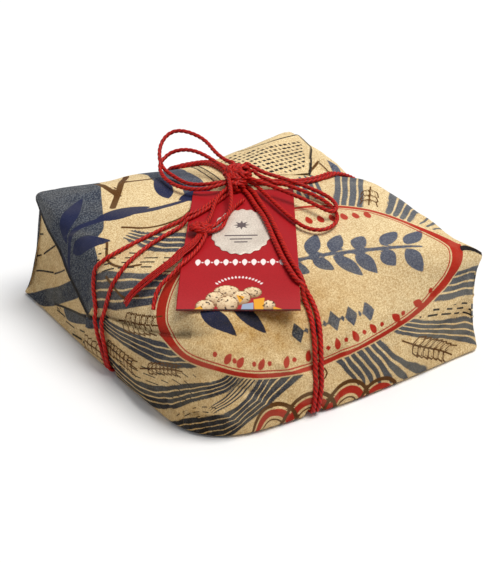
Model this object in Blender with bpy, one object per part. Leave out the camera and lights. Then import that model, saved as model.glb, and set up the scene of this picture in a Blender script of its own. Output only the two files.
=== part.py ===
"""An Easter loaf shut in a parcel of folded kraft paper, tied crosswise with cord and tagged.

Every size is in millimetres, and MM turns it into Blender's metres. +X runs along the front
side to the right, +Y to the back and +Z up, and the parcel stands on z = 0. The parcel is
described by sections that all start at the cord's knot: a place on its surface is s, round
the parcel from corner to corner, and k, along one section from the knot down to the base.
"""

import math

import bmesh
import bpy
import numpy as np
from mathutils import Vector
from mathutils.bvhtree import BVHTree

MM = 0.001

# Plan of the parcel, by corners in turn: front, right, back, left
BASE_CORNERS = [(-147, -161), (151, -160), (145, 157), (-155, 163)]
RIM_CORNERS = [(-143, -157), (157, -147), (151, 154), (-135, 150)]
CORNER_CUTS = [62, 12, 16, 9]
RIM_CUTS = [66, 7, 9, 7]
SIDE_BOWS = [7, 3, 4, 3]
KNOT_PLACE = (38, 60)
CROWN_HEIGHT = 113
HEM_RADIUS = 5
PLAN_CENTRE = (0.43, -1.3)
WALL_BULGES = [(0.0, 3), (0.8, 3), (1.0, -7), (1.3, 3), (2.0, 2), (2.8, 2), (3.0, -4), (3.3, 2)]

# Sections round the parcel, as (s, value): s is 0 at the front corner, 1 right, 2 back, 3 left
SHOULDER_HEIGHTS = [
    (0.0, 97), (0.25, 104), (0.5, 107), (0.8, 106), (0.94, 100), (1.0, 94), (1.04, 88),
    (1.11, 91), (1.2, 98), (1.32, 104), (1.46, 104), (1.58, 86), (1.72, 95), (2.0, 94),
    (2.22, 87), (2.34, 83),
    (2.45, 85), (2.7, 96), (3.0, 106), (3.2, 98), (3.43, 92), (3.7, 94),
]
WALL_HEIGHTS = [
    (0.0, 58), (0.2, 46), (0.6, 46), (1.0, 88), (1.07, 74), (1.3, 72), (1.46, 74), (1.58, 64),
    (1.85, 84), (2.0, 88), (2.34, 72), (2.7, 88), (3.0, 102), (3.2, 86), (3.43, 78), (3.7, 60),
]
SHOULDER_WIDTHS = [
    (0.0, 84), (0.2, 108), (0.55, 104), (1.0, 12), (1.07, 22), (1.3, 36), (1.46, 32),
    (1.58, 30), (1.85, 16), (2.0, 9), (2.34, 18), (2.7, 10), (3.0, 6), (3.2, 18), (3.43, 15),
    (3.7, 62),
]
SHOULDER_POWERS = [(0.0, 2.0), (0.7, 2.0), (1.0, 3.0), (1.3, 2.1), (2.0, 3.0), (2.7, 3.0),
                   (3.0, 3.2), (3.43, 2.4), (3.7, 2.0)]
TOP_POWERS = [(0.0, 2.6), (0.5, 2.6), (1.0, 3.8), (1.3, 3.5), (1.46, 2.8), (1.58, 2.2),
              (2.0, 2.2), (2.5, 1.9), (3.0, 2.0), (3.43, 2.6)]

# Folds on the left side: the flap's free edge and the lower panel's, as (y, z) points
FLAP_EDGE = [(149, 104), (112, 88), (73, 58), (31, 37)]
PANEL_EDGE = [(31, 37), (-6, 53), (-64, 68), (-115, 84)]
FLAP_STEP = 4
PANEL_STEP = 2.5
STEP_BLUR = 3

# Where the two cord rings cross the foot of the sides, and the grooves that they lie in
RING_CROSSINGS = [0.37, 1.59, 2.49, 3.53]
SIDE_LENGTH = 300
GROOVE_DEPTH = 5.6
GROOVE_HALF_WIDTH = 11
HOLLOW_DEPTH = 11
HOLLOW_RADII = (15, 38)
PINCH_DEPTH = 2.2
PINCH_WIDTH = 11

# Rows and columns of the wrap's mesh, with extra columns beside each ring of cord
COLUMN_COUNT = 64
CORNER_CROWDING = 0.55
RING_COLUMNS = [-11, -5.5, 0, 5.5, 11]
NEAREST_COLUMN = 0.012
TOP_STEPS = 7
SHOULDER_STEPS = 8
WALL_STEPS = 8
LOW_ROWS = [2.95, 3.0, 3.3, 3.6, 3.76, 3.84, 3.9, 3.95]

# Cord: a route's place is ("roof", x, y) or ("side", s, k) on the paper, or ("air", x, y, z)
CORD_RADIUS = 1.8
FRAYED_RADIUS = 3.1
CORD_SIDES_LEVEL = 2
TOUCH_GAP = 0.45
STRAND_OFFSET = 2.4
FRONT_OFFSET = 3.0
SAMPLE_SPACING = 2.2
SETTLE_TURNS = 40
LOWEST_OVER_CARD = 60
SETTLE_EASING = 0.25
PUSH_ONLY_TURNS = 3
LONGEST_CHORD = 13
CHORD_ERROR = 0.25

FOOT_ROWS = [2.9, 3.0, 3.12, 3.35, 3.6, 3.75]
HOLLOW_ROWS = [3.84, 3.9, 3.95]
LEFT_STRAND_1 = [
    ("roof", 12, 46), ("roof", 4, 41), ("roof", -38, 22), ("roof", -69, 22),
    ("roof", -100, 21), ("roof", -122, 22), ("side", 3.423, 1.32), ("side", 3.403, 1.64),
    ("side", 3.41, 2.12), ("side", 3.455, 2.4), ("side", 3.485, 2.61), ("side", 3.515, 2.8),
]
LEFT_STRAND_2 = [
    ("roof", 13, 40), ("roof", 0, 34), ("roof", -25, 23), ("roof", -51, 14), ("roof", -78, 11),
    ("roof", -108, 5), ("side", 3.507, 1.49), ("side", 3.487, 2.12), ("side", 3.49, 2.42),
    ("side", 3.507, 2.61), ("side", 3.53, 2.8),
]
BACK_RIGHT = [
    ("side", 1.59, 2.5), ("side", 1.59, 2.1), ("side", 1.592, 1.7), ("roof", 135, 28),
    ("roof", 114, 24), ("roof", 92, 19), ("roof", 72, 22), ("roof", 52, 35), ("roof", 34, 46),
]
FRONT = [
    ("roof", 22, 38), ("roof", 22, 28), ("roof", 15, 4), ("roof", 8, -22), ("roof", -5, -58),
    ("air", -16, -89, 113.2), ("air", -21, -108, 112.2), ("air", -23.5, -119, 110.6),
    ("air", -23, -128.5, 100.5), ("side", 0.373, 1.45), ("side", 0.387, 1.6), ("side", 0.38, 1.87), ("side", 0.376, 2.3), ("side", 0.375, 2.62),
]
BACK = [
    ("side", 2.49, 2.5), ("side", 2.49, 2.1), ("side", 2.49, 1.6), ("roof", 12, 147),
    ("roof", 20, 141), ("roof", 31, 130), ("roof", 34, 116), ("roof", 30, 82),
    ("roof", 26, 60),
]
LEFT_LOOP_1 = [
    ("air", 25, 56, 129), ("air", 21, 66, 132), ("air", 18, 78, 135), ("air", 19, 103, 140),
    ("air", 10, 122, 143), ("air", 2, 132, 141), ("air", -10, 131, 134), ("air", -19, 121, 126),
    ("air", -23, 110, 119), ("air", -20, 92, 116), ("air", -17, 72, 116), ("air", -2, 56, 119),
    ("air", 13, 50, 122),
]
LEFT_LOOP_2 = [
    ("air", 19, 54, 125), ("air", 16, 68, 128), ("air", 11, 83, 132), ("air", 5, 98, 134),
    ("air", -4, 112, 131), ("air", -15, 117, 126), ("air", -24, 111, 120),
    ("air", -30, 96, 117), ("air", -28, 70, 117), ("air", -17, 50, 120), ("air", -2, 43, 123),
    ("air", 12, 45, 124),
]
RIGHT_LOOP_1 = [
    ("air", 32, 45, 127), ("air", 37, 34, 125), ("air", 47, 24, 122), ("air", 60, 2, 119),
    ("air", 68, -15, 117), ("air", 69, -36, 116), ("air", 61, -57, 116), ("air", 47, -68, 116),
    ("air", 34, -68, 116), ("air", 26, -56, 116), ("air", 25, -38, 117), ("air", 26, -16, 118),
    ("air", 29, 14, 119), ("air", 29, 32, 121),
]
RIGHT_LOOP_2 = [
    ("air", 31, 50, 130), ("air", 41, 38, 127), ("air", 53, 25, 124), ("air", 65, 4, 121),
    ("air", 73, -15, 119), ("air", 73, -34, 119), ("air", 64, -51, 120), ("air", 56, -53, 121),
    ("air", 54, -38, 121), ("air", 48, -15, 122), ("air", 38, 11, 124), ("air", 28, 31, 126),
]
TAIL_1 = [
    ("air", 12, 47, 127), ("air", 5, 35, 126), ("air", -8, 12, 123), ("air", -22, -5, 120),
    ("air", -35, -12, 119), ("air", -44, -14, 119),
]
TAIL_2 = [
    ("air", 12, 40, 121), ("air", -6, 33, 121), ("air", -22, 19, 120), ("air", -37, 1, 119),
    ("air", -48, -8, 120),
]
TAG_STRING = [
    ("air", 8, 17, 117), ("air", -5, 11, 117), ("air", -23, -3, 117),
    ("air", -38, -19, 117), ("air", -48, -18, 117),
]
FRAYED_END = [
    ("air", -62, -20, 117), ("air", -77, -30, 114), ("air", -94, -36, 112),
    ("air", -106, -37, 109), ("air", -119, -38, 104), ("air", -132, -37, 97),
    ("air", -141, -33, 88), ("air", -146, -32, 80),
]
THIN_END = [
    ("air", -58, -20, 118), ("air", -66, -31, 116), ("air", -83, -41, 113),
    ("air", -98, -49, 110), ("air", -116, -52, 105), ("air", -127, -54, 98),
    ("air", -135, -62, 86),
]

# Knots, as ellipsoids wound with ridges: (centre, radii, ridges, depth of the ridges)
MAIN_KNOT = ((22.5, 49, 124.8), (13.5, 13, 10), 5, 0.07)
SMALL_KNOT = ((-56, -12, 119.6), (9, 6.5, 5.5), 4, 0.09)
KNOT_TURN = -33
KNOT_COLUMNS = 18
KNOT_ROWS = 9

# Tag: plan of its corners, near left and right of the knot and then down the front
TAG_TOP = [(-19, 60), (61, 15)]
TAG_FOOT = [(-129.5, -91), (-40.5, -148.5)]
TAG_THICKNESS = 0.8
TAG_ROWS = 14
SEAL_CENTRE = (0.5, 0.425)
SEAL_RADII = (0.272, 0.208)
SEAL_SCALLOPS = 20
SEAL_SCALLOP_DEPTH = 0.025
SEAL_THICKNESS = 0.6
SEAL_COLUMNS = 60

PAPER = dict(colour=(0.62, 0.47, 0.27), roughness=0.75)
CORD_RED = dict(colour=(0.42, 0.02, 0.02), roughness=0.5)
CARD_RED = dict(colour=(0.40, 0.012, 0.018), roughness=0.4)
SEAL_SILVER = dict(colour=(0.75, 0.72, 0.70), roughness=0.35)


def round_the_parcel(stations, s):
    """The value at s, eased from each station to the next and back to the first."""
    places = np.array([place for place, _ in stations] + [stations[0][0] + 4.0])
    values = np.array([value for _, value in stations] + [stations[0][1]], float)
    s = np.mod(s, 4.0)
    after = np.clip(np.searchsorted(places, s, side="right"), 1, len(places) - 1)
    share = (s - places[after - 1]) / (places[after] - places[after - 1])
    eased = share * share * (3 - 2 * share)
    return values[after - 1] + (values[after] - values[after - 1]) * eased


def outline(corners, cuts, bows, s):
    """(points, outward normals) of a bowed outline with rounded corners, at each s."""
    s = np.mod(np.asarray(s, float), 4.0)
    corners = np.array(corners, float)
    points = np.zeros(s.shape + (2,))
    for side in range(4):
        here, after, before = corners[side], corners[(side + 1) % 4], corners[side - 1]
        length = math.dist(here, after)
        along = (after - here) / length
        out = np.array([along[1], -along[0]])
        chosen = (s >= side) & (s < side + 1)
        share = (s[chosen] - side)[:, None]
        straight = here + (after - here) * share
        start, end = cuts[side] / length, 1 - cuts[(side + 1) % 4] / length
        beyond = corners[(side + 2) % 4]
        back = (before - here) / math.dist(before, here)
        turn = 0.5 + share / (2 * start)
        first = bezier(here + back * cuts[side], here, here + along * cuts[side], turn)
        ahead = (beyond - after) / math.dist(beyond, after)
        turn = 0.5 - (1 - share) / (2 * (1 - end))
        last_cut = cuts[(side + 1) % 4]
        last = bezier(after - along * last_cut, after, after + ahead * last_cut, turn)
        bent = np.where(share < start, first, np.where(share > end, last, straight))
        points[chosen] = bent + out * bows[side] * np.sin(math.pi * share) ** 2
    return points


def bezier(a, b, c, t):
    return a * (1 - t) ** 2 + 2 * b * t * (1 - t) + c * t**2


def outward(corners, cuts, bows, s):
    """Unit vectors square to the outline."""
    step = 1e-3
    ahead = outline(corners, cuts, bows, s + step) - outline(corners, cuts, bows, s - step)
    out = np.stack([ahead[..., 1], -ahead[..., 0]], -1)
    return out / np.linalg.norm(out, axis=-1, keepdims=True)


def eased_step(value, low, high):
    share = np.clip((value - low) / (high - low), 0, 1)
    return share * share * (3 - 2 * share)


def groove(s, from_pole):
    """How much of the cord grooves' depth there is, from_pole of the way out from the middle."""
    depth = np.zeros_like(s)
    for crossing in RING_CROSSINGS:
        sideways = np.abs(np.mod(s - crossing + 2, 4) - 2) * SIDE_LENGTH * from_pole
        near = 1 - eased_step(sideways, GROOVE_HALF_WIDTH / 2, GROOVE_HALF_WIDTH)
        depth = np.maximum(depth, near)
    return depth


def left_folds(points, s):
    """Outward shift where the left side's folded layers lie over one another."""
    flap_y = np.array([y for y, _ in FLAP_EDGE])[::-1]
    flap_z = np.array([z for _, z in FLAP_EDGE])[::-1]
    panel_y = np.array([y for y, _ in PANEL_EDGE])[::-1]
    panel_z = np.array([z for _, z in PANEL_EDGE])[::-1]
    y, z = points[..., 1], points[..., 2]
    on_left = eased_step(s, 2.97, 3.0) * (1 - eased_step(s, 3.86, 3.95))
    under_flap = 1 - eased_step(z - np.interp(y, flap_y, flap_z), -STEP_BLUR, STEP_BLUR)
    under_flap = under_flap * eased_step(y, 24, 32)
    on_panel = 1 - eased_step(z - np.interp(y, panel_y, panel_z), -STEP_BLUR, STEP_BLUR)
    on_panel = on_panel * (1 - eased_step(y, 28, 34))
    return (on_panel * PANEL_STEP - under_flap * FLAP_STEP) * on_left


def roof_height(s, inside, reach):
    """Height of the top, and of its rounded shoulder, so far inside the wall."""
    high = round_the_parcel(SHOULDER_HEIGHTS, s)
    low = round_the_parcel(WALL_HEIGHTS, s)
    wide = round_the_parcel(SHOULDER_WIDTHS, s)
    power = round_the_parcel(SHOULDER_POWERS, s)
    dome = round_the_parcel(TOP_POWERS, s)
    over = np.clip((wide - inside) / wide, 0, 1) ** power
    drop = (high - low) * (1 - (1 - over) ** (1 / power))
    out_share = np.clip(1 - inside / reach, 0, 1)
    return CROWN_HEIGHT - (CROWN_HEIGHT - high) * out_share**dome - drop


def paper_height(x, y):
    """Height of the top over a place in the plan."""
    s = np.linspace(0, 4, 2001)
    rim = outline(RIM_CORNERS, RIM_CUTS, SIDE_BOWS, s) - np.array(KNOT_PLACE, float)
    angles = np.unwrap(np.arctan2(rim[:, 1], rim[:, 0]))
    x, y = np.asarray(x, float) - KNOT_PLACE[0], np.asarray(y, float) - KNOT_PLACE[1]
    wanted = angles[0] + np.mod(np.arctan2(y, x) - angles[0], 2 * math.pi)
    there = np.interp(wanted, angles, s)
    reach = np.interp(wanted, angles, np.linalg.norm(rim, axis=-1))
    return roof_height(there, reach - np.hypot(x, y), reach)


def paper(s, k):
    """Points of the wrap: k is 0 at the knot, 1 to 2 over the shoulder, 3 at the foot, 4 below."""
    s, k = (np.array(part, float) for part in np.broadcast_arrays(s, k))
    shape = s.shape
    s, k = s.ravel(), k.ravel()
    rim = outline(RIM_CORNERS, RIM_CUTS, SIDE_BOWS, s)
    foot = outline(BASE_CORNERS, CORNER_CUTS, SIDE_BOWS, s)
    out = outward(RIM_CORNERS, RIM_CUTS, SIDE_BOWS, s)
    pole = np.array(KNOT_PLACE, float)
    reach = np.linalg.norm(rim - pole, axis=-1)
    low = round_the_parcel(WALL_HEIGHTS, s)
    wide = round_the_parcel(SHOULDER_WIDTHS, s)
    power = round_the_parcel(SHOULDER_POWERS, s)

    turn = np.clip(k - 1, 0, 1) * math.pi / 2
    inside = np.where(k < 1, reach + (wide - reach) * np.clip(k, 0, 1),
                      wide * (1 - np.sin(turn) ** (2 / power)))
    roof = roof_height(s, inside, reach)
    down = np.clip(k - 2, 0, 1)
    lift = GROOVE_DEPTH * groove(s, 1.0)
    height = np.where(k < 2, roof, lift + (low - lift) * (1 - down))
    plan = rim + (pole - rim) * (inside / reach)[:, None]
    wall = rim + (foot - rim) * down[:, None]
    wall = wall + out * (round_the_parcel(WALL_BULGES, s) * 4 * down * (1 - down))[:, None]
    near_floor = np.clip(1 - (height - lift) / HEM_RADIUS, 0, 1)
    wall = wall - out * (HEM_RADIUS * (1 - np.sqrt(1 - near_floor**2)))[:, None]
    plan = np.where((k < 2)[:, None], plan, wall)

    under = np.clip(k - 3, 0, 1)
    foot_in = foot - out * HEM_RADIUS
    below = foot_in + (pole - foot_in) * under[:, None]
    plan = np.where((k > 3)[:, None], below, plan)
    from_pole = np.linalg.norm(below - pole, axis=-1)
    hollow = HOLLOW_DEPTH * (1 - eased_step(from_pole, *HOLLOW_RADII))
    ceiling = np.maximum(GROOVE_DEPTH * groove(s, 1 - under), hollow)
    height = np.where(k > 3, ceiling, height)

    points = np.concatenate([plan, height[:, None]], 1)
    squeeze = np.zeros_like(s)
    for crossing in RING_CROSSINGS:
        sideways = np.abs(np.mod(s - crossing + 2, 4) - 2) * SIDE_LENGTH
        squeeze = np.maximum(squeeze, np.exp(-((sideways / PINCH_WIDTH) ** 2)))
    squeeze = squeeze * PINCH_DEPTH * eased_step(k, 1.0, 1.6) * (1 - eased_step(k, 2.9, 3.0))
    shift = left_folds(points, s) * eased_step(k, 1.2, 1.6) * (1 - eased_step(k, 2.9, 3.0))
    points[:, :2] += out * (shift - squeeze)[:, None]
    return points.reshape(shape + (3,))


def paper_normal(s, k):
    step = 2e-3
    round_way = paper(s + step, k) - paper(s - step, k)
    down_way = paper(s, k + step) - paper(s, k - step)
    normal = np.cross(down_way, round_way)
    return normal / np.linalg.norm(normal, axis=-1, keepdims=True)


def wrap_columns():
    """s values round the parcel, closer together at the corners and beside the cord rings."""
    share = np.arange(COLUMN_COUNT) / COLUMN_COUNT * 4
    plain = share - CORNER_CROWDING * np.sin(2 * math.pi * share) / (2 * math.pi)
    extra = [crossing + shift / SIDE_LENGTH for crossing in RING_CROSSINGS for shift in RING_COLUMNS]
    kept = [s for s in plain if min(abs(s - place) for place in extra) > NEAREST_COLUMN]
    return np.array(sorted(kept + extra))


def material(name, colour, roughness):
    made = bpy.data.materials.new(name)
    made.use_nodes = True
    shader = made.node_tree.nodes["Principled BSDF"]
    shader.inputs["Base Color"].default_value = (*colour, 1)
    shader.inputs["Roughness"].default_value = roughness
    made.diffuse_color = (*colour, 1)
    return made


def in_row_frame(points):
    """Points in Blender's metres, with the plan's centre at x = y = 0."""
    centre = np.array([*PLAN_CENTRE, 0.0])
    return [tuple(place) for place in (np.asarray(points, float) - centre) * MM]


def new_object(name, data, look):
    made = bpy.data.objects.new(name, data)
    data.materials.append(look)
    bpy.context.scene.collection.objects.link(made)
    return made


def mesh_object(name, points, faces, look):
    """A closed body from points in millimetres, its faces turned outwards."""
    mesh = bpy.data.meshes.new(name)
    mesh.from_pydata(in_row_frame(points), [], faces)
    built = bmesh.new()
    built.from_mesh(mesh)
    bmesh.ops.recalc_face_normals(built, faces=built.faces)
    built.to_mesh(mesh)
    built.free()
    mesh.shade_smooth()
    mesh.set_sharp_from_angle(angle=math.radians(35))
    return new_object(name, mesh, look)


def surface_of(made):
    """A search tree over an object's faces, in millimetres."""
    centre = np.array([*PLAN_CENTRE, 0.0])
    points = [Vector(np.array(vertex.co) / MM + centre) for vertex in made.data.vertices]
    return BVHTree.FromPolygons(points, [tuple(face.vertices) for face in made.data.polygons])


def grid_faces(rows, columns):
    """Quads between rows of points, each row closed on itself."""
    faces = []
    for row in range(rows - 1):
        for column in range(columns):
            after = (column + 1) % columns
            faces.append((row * columns + column, row * columns + after,
                          (row + 1) * columns + after, (row + 1) * columns + column))
    return faces


def fan_faces(first, columns, tip):
    """Triangles from one row of points to a point."""
    return [(first + column, first + (column + 1) % columns, tip) for column in range(columns)]


def build_paper(look):
    s = wrap_columns()
    k = np.concatenate([
        np.linspace(0, 1, TOP_STEPS + 1)[1:],
        np.linspace(1, 2, SHOULDER_STEPS + 1)[1:],
        np.linspace(2, 3, WALL_STEPS + 1)[1:-1],
        LOW_ROWS,
    ])
    grid = paper(s[None, :], k[:, None])
    rows, columns = grid.shape[:2]
    count = rows * columns
    points = [*grid.reshape(-1, 3), paper(0.0, 0.0), paper(0.0, 4.0)]
    faces = grid_faces(rows, columns)
    faces += fan_faces(0, columns, count)
    faces += fan_faces(count - columns, columns, count + 1)
    return mesh_object("paper_wrap", points, faces, look)


def tag_plan(u, v):
    """Plan of a place on the tag: u from its left edge to its right, v from its top down."""
    top = np.array(TAG_TOP, float)
    foot = np.array(TAG_FOOT, float)
    u, v = np.asarray(u, float)[..., None], np.asarray(v, float)[..., None]
    left = top[0] + (foot[0] - top[0]) * v
    right = top[1] + (foot[1] - top[1]) * v
    return left + (right - left) * u


def tag_height(v):
    """Height of the tag's underside: it is level across, and lies on the highest paper there."""
    across = np.linspace(0, 1, 21)
    rows = np.linspace(0, 1, TAG_ROWS + 1)
    plan = tag_plan(across[None, :], rows[:, None])
    highest = paper_height(plan[..., 0], plan[..., 1]).max(axis=1)
    return np.interp(v, rows, highest) + TOUCH_GAP


def build_tag(look):
    rows = np.linspace(0, 1, TAG_ROWS + 1)
    points = []
    for v in rows:
        for u, lift in ((0, 0), (1, 0), (1, TAG_THICKNESS), (0, TAG_THICKNESS)):
            points.append((*tag_plan(u, v), tag_height(v) + lift))
    faces = grid_faces(len(rows), 4)
    last = len(points)
    faces += [(0, 1, 2, 3), (last - 4, last - 3, last - 2, last - 1)]
    return mesh_object("tag_card", points, faces, look)


def build_seal(look):
    """A thin scalloped oval that follows the tag."""
    turn = np.arange(SEAL_COLUMNS) / SEAL_COLUMNS * 2 * math.pi
    scallop = 1 + SEAL_SCALLOP_DEPTH * np.cos(turn * SEAL_SCALLOPS)
    points = []
    for lift in (0, SEAL_THICKNESS):
        u = SEAL_CENTRE[0] + SEAL_RADII[0] * scallop * np.cos(turn)
        v = SEAL_CENTRE[1] + SEAL_RADII[1] * scallop * np.sin(turn)
        height = tag_height(v) + TAG_THICKNESS + TOUCH_GAP + lift
        points += list(np.concatenate([tag_plan(u, v), height[:, None]], 1))
    count = len(points)
    for lift in (0, SEAL_THICKNESS):
        middle = tag_height(SEAL_CENTRE[1]) + TAG_THICKNESS + TOUCH_GAP + lift
        points.append((*tag_plan(*SEAL_CENTRE), middle))
    faces = grid_faces(count // SEAL_COLUMNS, SEAL_COLUMNS)
    faces += fan_faces(0, SEAL_COLUMNS, count)
    faces += fan_faces(count - SEAL_COLUMNS, SEAL_COLUMNS, count + 1)
    return mesh_object("tag_seal", points, faces, look)


def build_knot(name, knot, look):
    centre, radii, ridges, depth = knot
    heading = math.radians(KNOT_TURN)
    along = np.array([math.cos(heading), math.sin(heading), 0])
    across = np.array([-math.sin(heading), math.cos(heading), 0])
    points = []
    for row in range(1, KNOT_ROWS):
        down = math.pi * row / KNOT_ROWS
        for column in range(KNOT_COLUMNS):
            turn = 2 * math.pi * column / KNOT_COLUMNS
            wound = 1 - depth * (0.5 + 0.5 * math.cos(ridges * (turn + 1.4 * down)))
            level = radii[2] * math.cos(down)
            points.append(np.array(centre) + wound * (
                along * radii[0] * math.sin(down) * math.cos(turn)
                + across * radii[1] * math.sin(down) * math.sin(turn)
                + np.array([0, 0, level])))
    count = len(points)
    for side in (1, -1):
        points.append(np.array(centre) + np.array([0, 0, side * radii[2] * (1 - depth / 2)]))
    faces = grid_faces(KNOT_ROWS - 1, KNOT_COLUMNS)
    faces += fan_faces(0, KNOT_COLUMNS, count)
    faces += fan_faces(count - KNOT_COLUMNS, KNOT_COLUMNS, count + 1)
    return mesh_object(name, points, faces, look)


def place_on_route(item, radius):
    """(point, direction away from the paper) of one place of a cord's route."""
    kind, *place = item
    if kind == "air":
        return np.array(place, float), np.array([0, 0, 1.0])
    if kind == "roof":
        x, y = place
        return np.array([x, y, float(paper_height(x, y)) + radius + TOUCH_GAP]), np.array([0, 0, 1.0])
    normal = paper_normal(*place)
    return paper(*place) + normal * (radius + TOUCH_GAP), normal


def smooth(points, spacing):
    """Evenly spaced points along a smooth curve through the given ones."""
    points = np.array(points, float)
    ends = [2 * points[0] - points[1], *points, 2 * points[-1] - points[-2]]
    fine = []
    for a, b, c, d in zip(ends, ends[1:], ends[2:], ends[3:]):
        reach = np.linalg.norm(c - b)
        leave = (c - a) * reach / (np.linalg.norm(b - a) + reach)
        arrive = (d - b) * reach / (np.linalg.norm(d - c) + reach)
        for t in np.linspace(0, 1, 16, endpoint=False):
            fine.append((2 * t**3 - 3 * t**2 + 1) * b + (t**3 - 2 * t**2 + t) * leave
                        + (3 * t**2 - 2 * t**3) * c + (t**3 - t**2) * arrive)
    fine = np.array([*fine, points[-1]])
    return spaced(fine, spacing)


def spaced(points, spacing):
    run = np.concatenate([[0], np.cumsum(np.linalg.norm(np.diff(points, axis=0), axis=1))])
    count = max(2, round(run[-1] / spacing) + 1)
    even = np.linspace(0, run[-1], count)
    return np.stack([np.interp(even, run, points[:, axis]) for axis in range(3)], 1)


def route_of(items, radius, offset=0.0):
    """A smooth route, moved sideways by offset along the paper."""
    places = [place_on_route(item, radius) for item in items]
    points = np.array([point for point, _ in places])
    away = np.array([normal for _, normal in places])
    ahead = np.gradient(points, axis=0)
    sideways = np.cross(ahead, away)
    sideways /= np.linalg.norm(sideways, axis=1, keepdims=True)
    return smooth(points + sideways * offset, SAMPLE_SPACING)


def beyond_knots(points, radius):
    """The route without the stretches at its ends that lie inside a knot."""
    heading = math.radians(KNOT_TURN)
    axes = np.array([[math.cos(heading), math.sin(heading), 0],
                     [-math.sin(heading), math.cos(heading), 0], [0, 0, 1]])
    inside = np.zeros(len(points), bool)
    for centre, radii, _, _ in (MAIN_KNOT, SMALL_KNOT):
        local = (points - np.array(centre)) @ axes.T / (np.array(radii) + radius * 0.6)
        inside |= np.linalg.norm(local, axis=1) < 1
    outside = np.nonzero(~inside)[0]
    return points[outside[0]:outside[-1] + 1]


def pushed_from_surface(points, radius, surface):
    """Points moved out until they are a cord's radius clear of a surface."""
    needed = radius + TOUCH_GAP + CHORD_ERROR
    moved = points.copy()
    for index, point in enumerate(points):
        near, normal, _, distance = surface.find_nearest(Vector(point))
        away = Vector(point) - near
        if away.dot(normal) < 0 and distance < 2 * HEM_RADIUS:
            moved[index] = near + normal * needed
        elif 0 < distance < needed:
            moved[index] = near + away / distance * needed
    return moved


def pushed_from_cords(points, radius, laid):
    """Points moved until they are clear of every cord that already lies there."""
    for others, other_radius in laid:
        gaps = points[:, None] - others[None]
        distances = np.linalg.norm(gaps, axis=-1)
        nearest = distances.argmin(axis=1)
        every = np.arange(len(points))
        distance = distances[every, nearest]
        needed = radius + other_radius + TOUCH_GAP + CHORD_ERROR
        short = np.maximum(needed - distance, 0)
        away = gaps[every, nearest] / np.maximum(distance, 1e-6)[:, None]
        points = points + away * short[:, None]
    return points


def lifted_over_card(points, radius, card):
    """Points of the upper side raised onto the card or seal that they pass over."""
    moved = points.copy()
    for index, point in enumerate(points):
        if point[2] < LOWEST_OVER_CARD:
            continue
        start = Vector((point[0], point[1], 2 * CROWN_HEIGHT))
        hit = card.ray_cast(start, Vector((0, 0, -1)))[0]
        if hit is not None:
            moved[index, 2] = max(point[2], hit[2] + radius + TOUCH_GAP + CHORD_ERROR)
    return moved


def settled(points, radius, surfaces, cards, laid):
    """The route as a limp cord takes it: clear of the surfaces and of the cords before it."""
    for turn in range(SETTLE_TURNS):
        if turn < SETTLE_TURNS - PUSH_ONLY_TURNS:
            middle = (points[:-2] + points[2:]) / 2
            points[1:-1] += (middle - points[1:-1]) * SETTLE_EASING
        points = pushed_from_cords(points, radius, laid)
        for card in cards:
            points = lifted_over_card(points, radius, card)
        for surface in surfaces:
            points = pushed_from_surface(points, radius, surface)
    return points


def few_points(points):
    """The points that keep the route's shape: close together only where it bends."""
    kept = [0]
    while kept[-1] < len(points) - 1:
        start = kept[-1]
        end = start + 1
        while end + 1 < len(points):
            ahead = points[end + 1] - points[start]
            length = np.linalg.norm(ahead)
            between = points[start + 1:end + 1] - points[start]
            off = np.linalg.norm(np.cross(between, ahead), axis=1).max() / length
            if length > LONGEST_CHORD or off > CHORD_ERROR:
                break
            end += 1
        kept.append(end)
    return points[kept]


def build_cord(name, route, radius, look):
    points = few_points(route)
    curve = bpy.data.curves.new(name, "CURVE")
    curve.dimensions = "3D"
    curve.bevel_depth = radius * MM
    curve.bevel_resolution = CORD_SIDES_LEVEL
    curve.use_fill_caps = True
    line = curve.splines.new("POLY")
    line.points.add(len(points) - 1)
    for point, place in zip(line.points, in_row_frame(points)):
        point.co = (*place, 1)
    return new_object(name, curve, look)


def foot_to_foot(start, end, rows):
    """Places from the foot of one side to the foot of another, under the parcel."""
    return [("side", start, k) for k in rows] + [("side", end, k) for k in reversed(rows)]


def ring_routes():
    """Routes of the four strands that go round the parcel, each from the knot to the knot."""
    front, right, back, left = RING_CROSSINGS
    across = foot_to_foot(left, right, FOOT_ROWS) + BACK_RIGHT
    along = foot_to_foot(front, back, FOOT_ROWS + HOLLOW_ROWS) + BACK
    routes = {}
    for name, upper, offset in (("side_cord_1", LEFT_STRAND_1, STRAND_OFFSET),
                                ("side_cord_2", LEFT_STRAND_2, -STRAND_OFFSET)):
        lower = route_of(across, CORD_RADIUS, offset)
        routes[name] = smooth([*route_of(upper, CORD_RADIUS)[:-1:3], *lower[::2]], SAMPLE_SPACING)
    for name, side in (("front_cord_1", 1), ("front_cord_2", -1)):
        upper = route_of(FRONT, CORD_RADIUS, side * FRONT_OFFSET)
        lower = route_of(along, CORD_RADIUS, side * STRAND_OFFSET)
        routes[name] = smooth([*upper[:-1:3], *lower[::2]], SAMPLE_SPACING)
    return routes


FREE_CORDS = [
    ("tag_string", TAG_STRING, CORD_RADIUS),
    ("tail_1", TAIL_1, CORD_RADIUS),
    ("tail_2", TAIL_2, CORD_RADIUS),
    ("frayed_end", FRAYED_END, FRAYED_RADIUS),
    ("thin_end", THIN_END, CORD_RADIUS),
    ("left_loop_1", LEFT_LOOP_1, CORD_RADIUS),
    ("left_loop_2", LEFT_LOOP_2, CORD_RADIUS),
    ("right_loop_1", RIGHT_LOOP_1, CORD_RADIUS),
    ("right_loop_2", RIGHT_LOOP_2, CORD_RADIUS),
]


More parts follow.
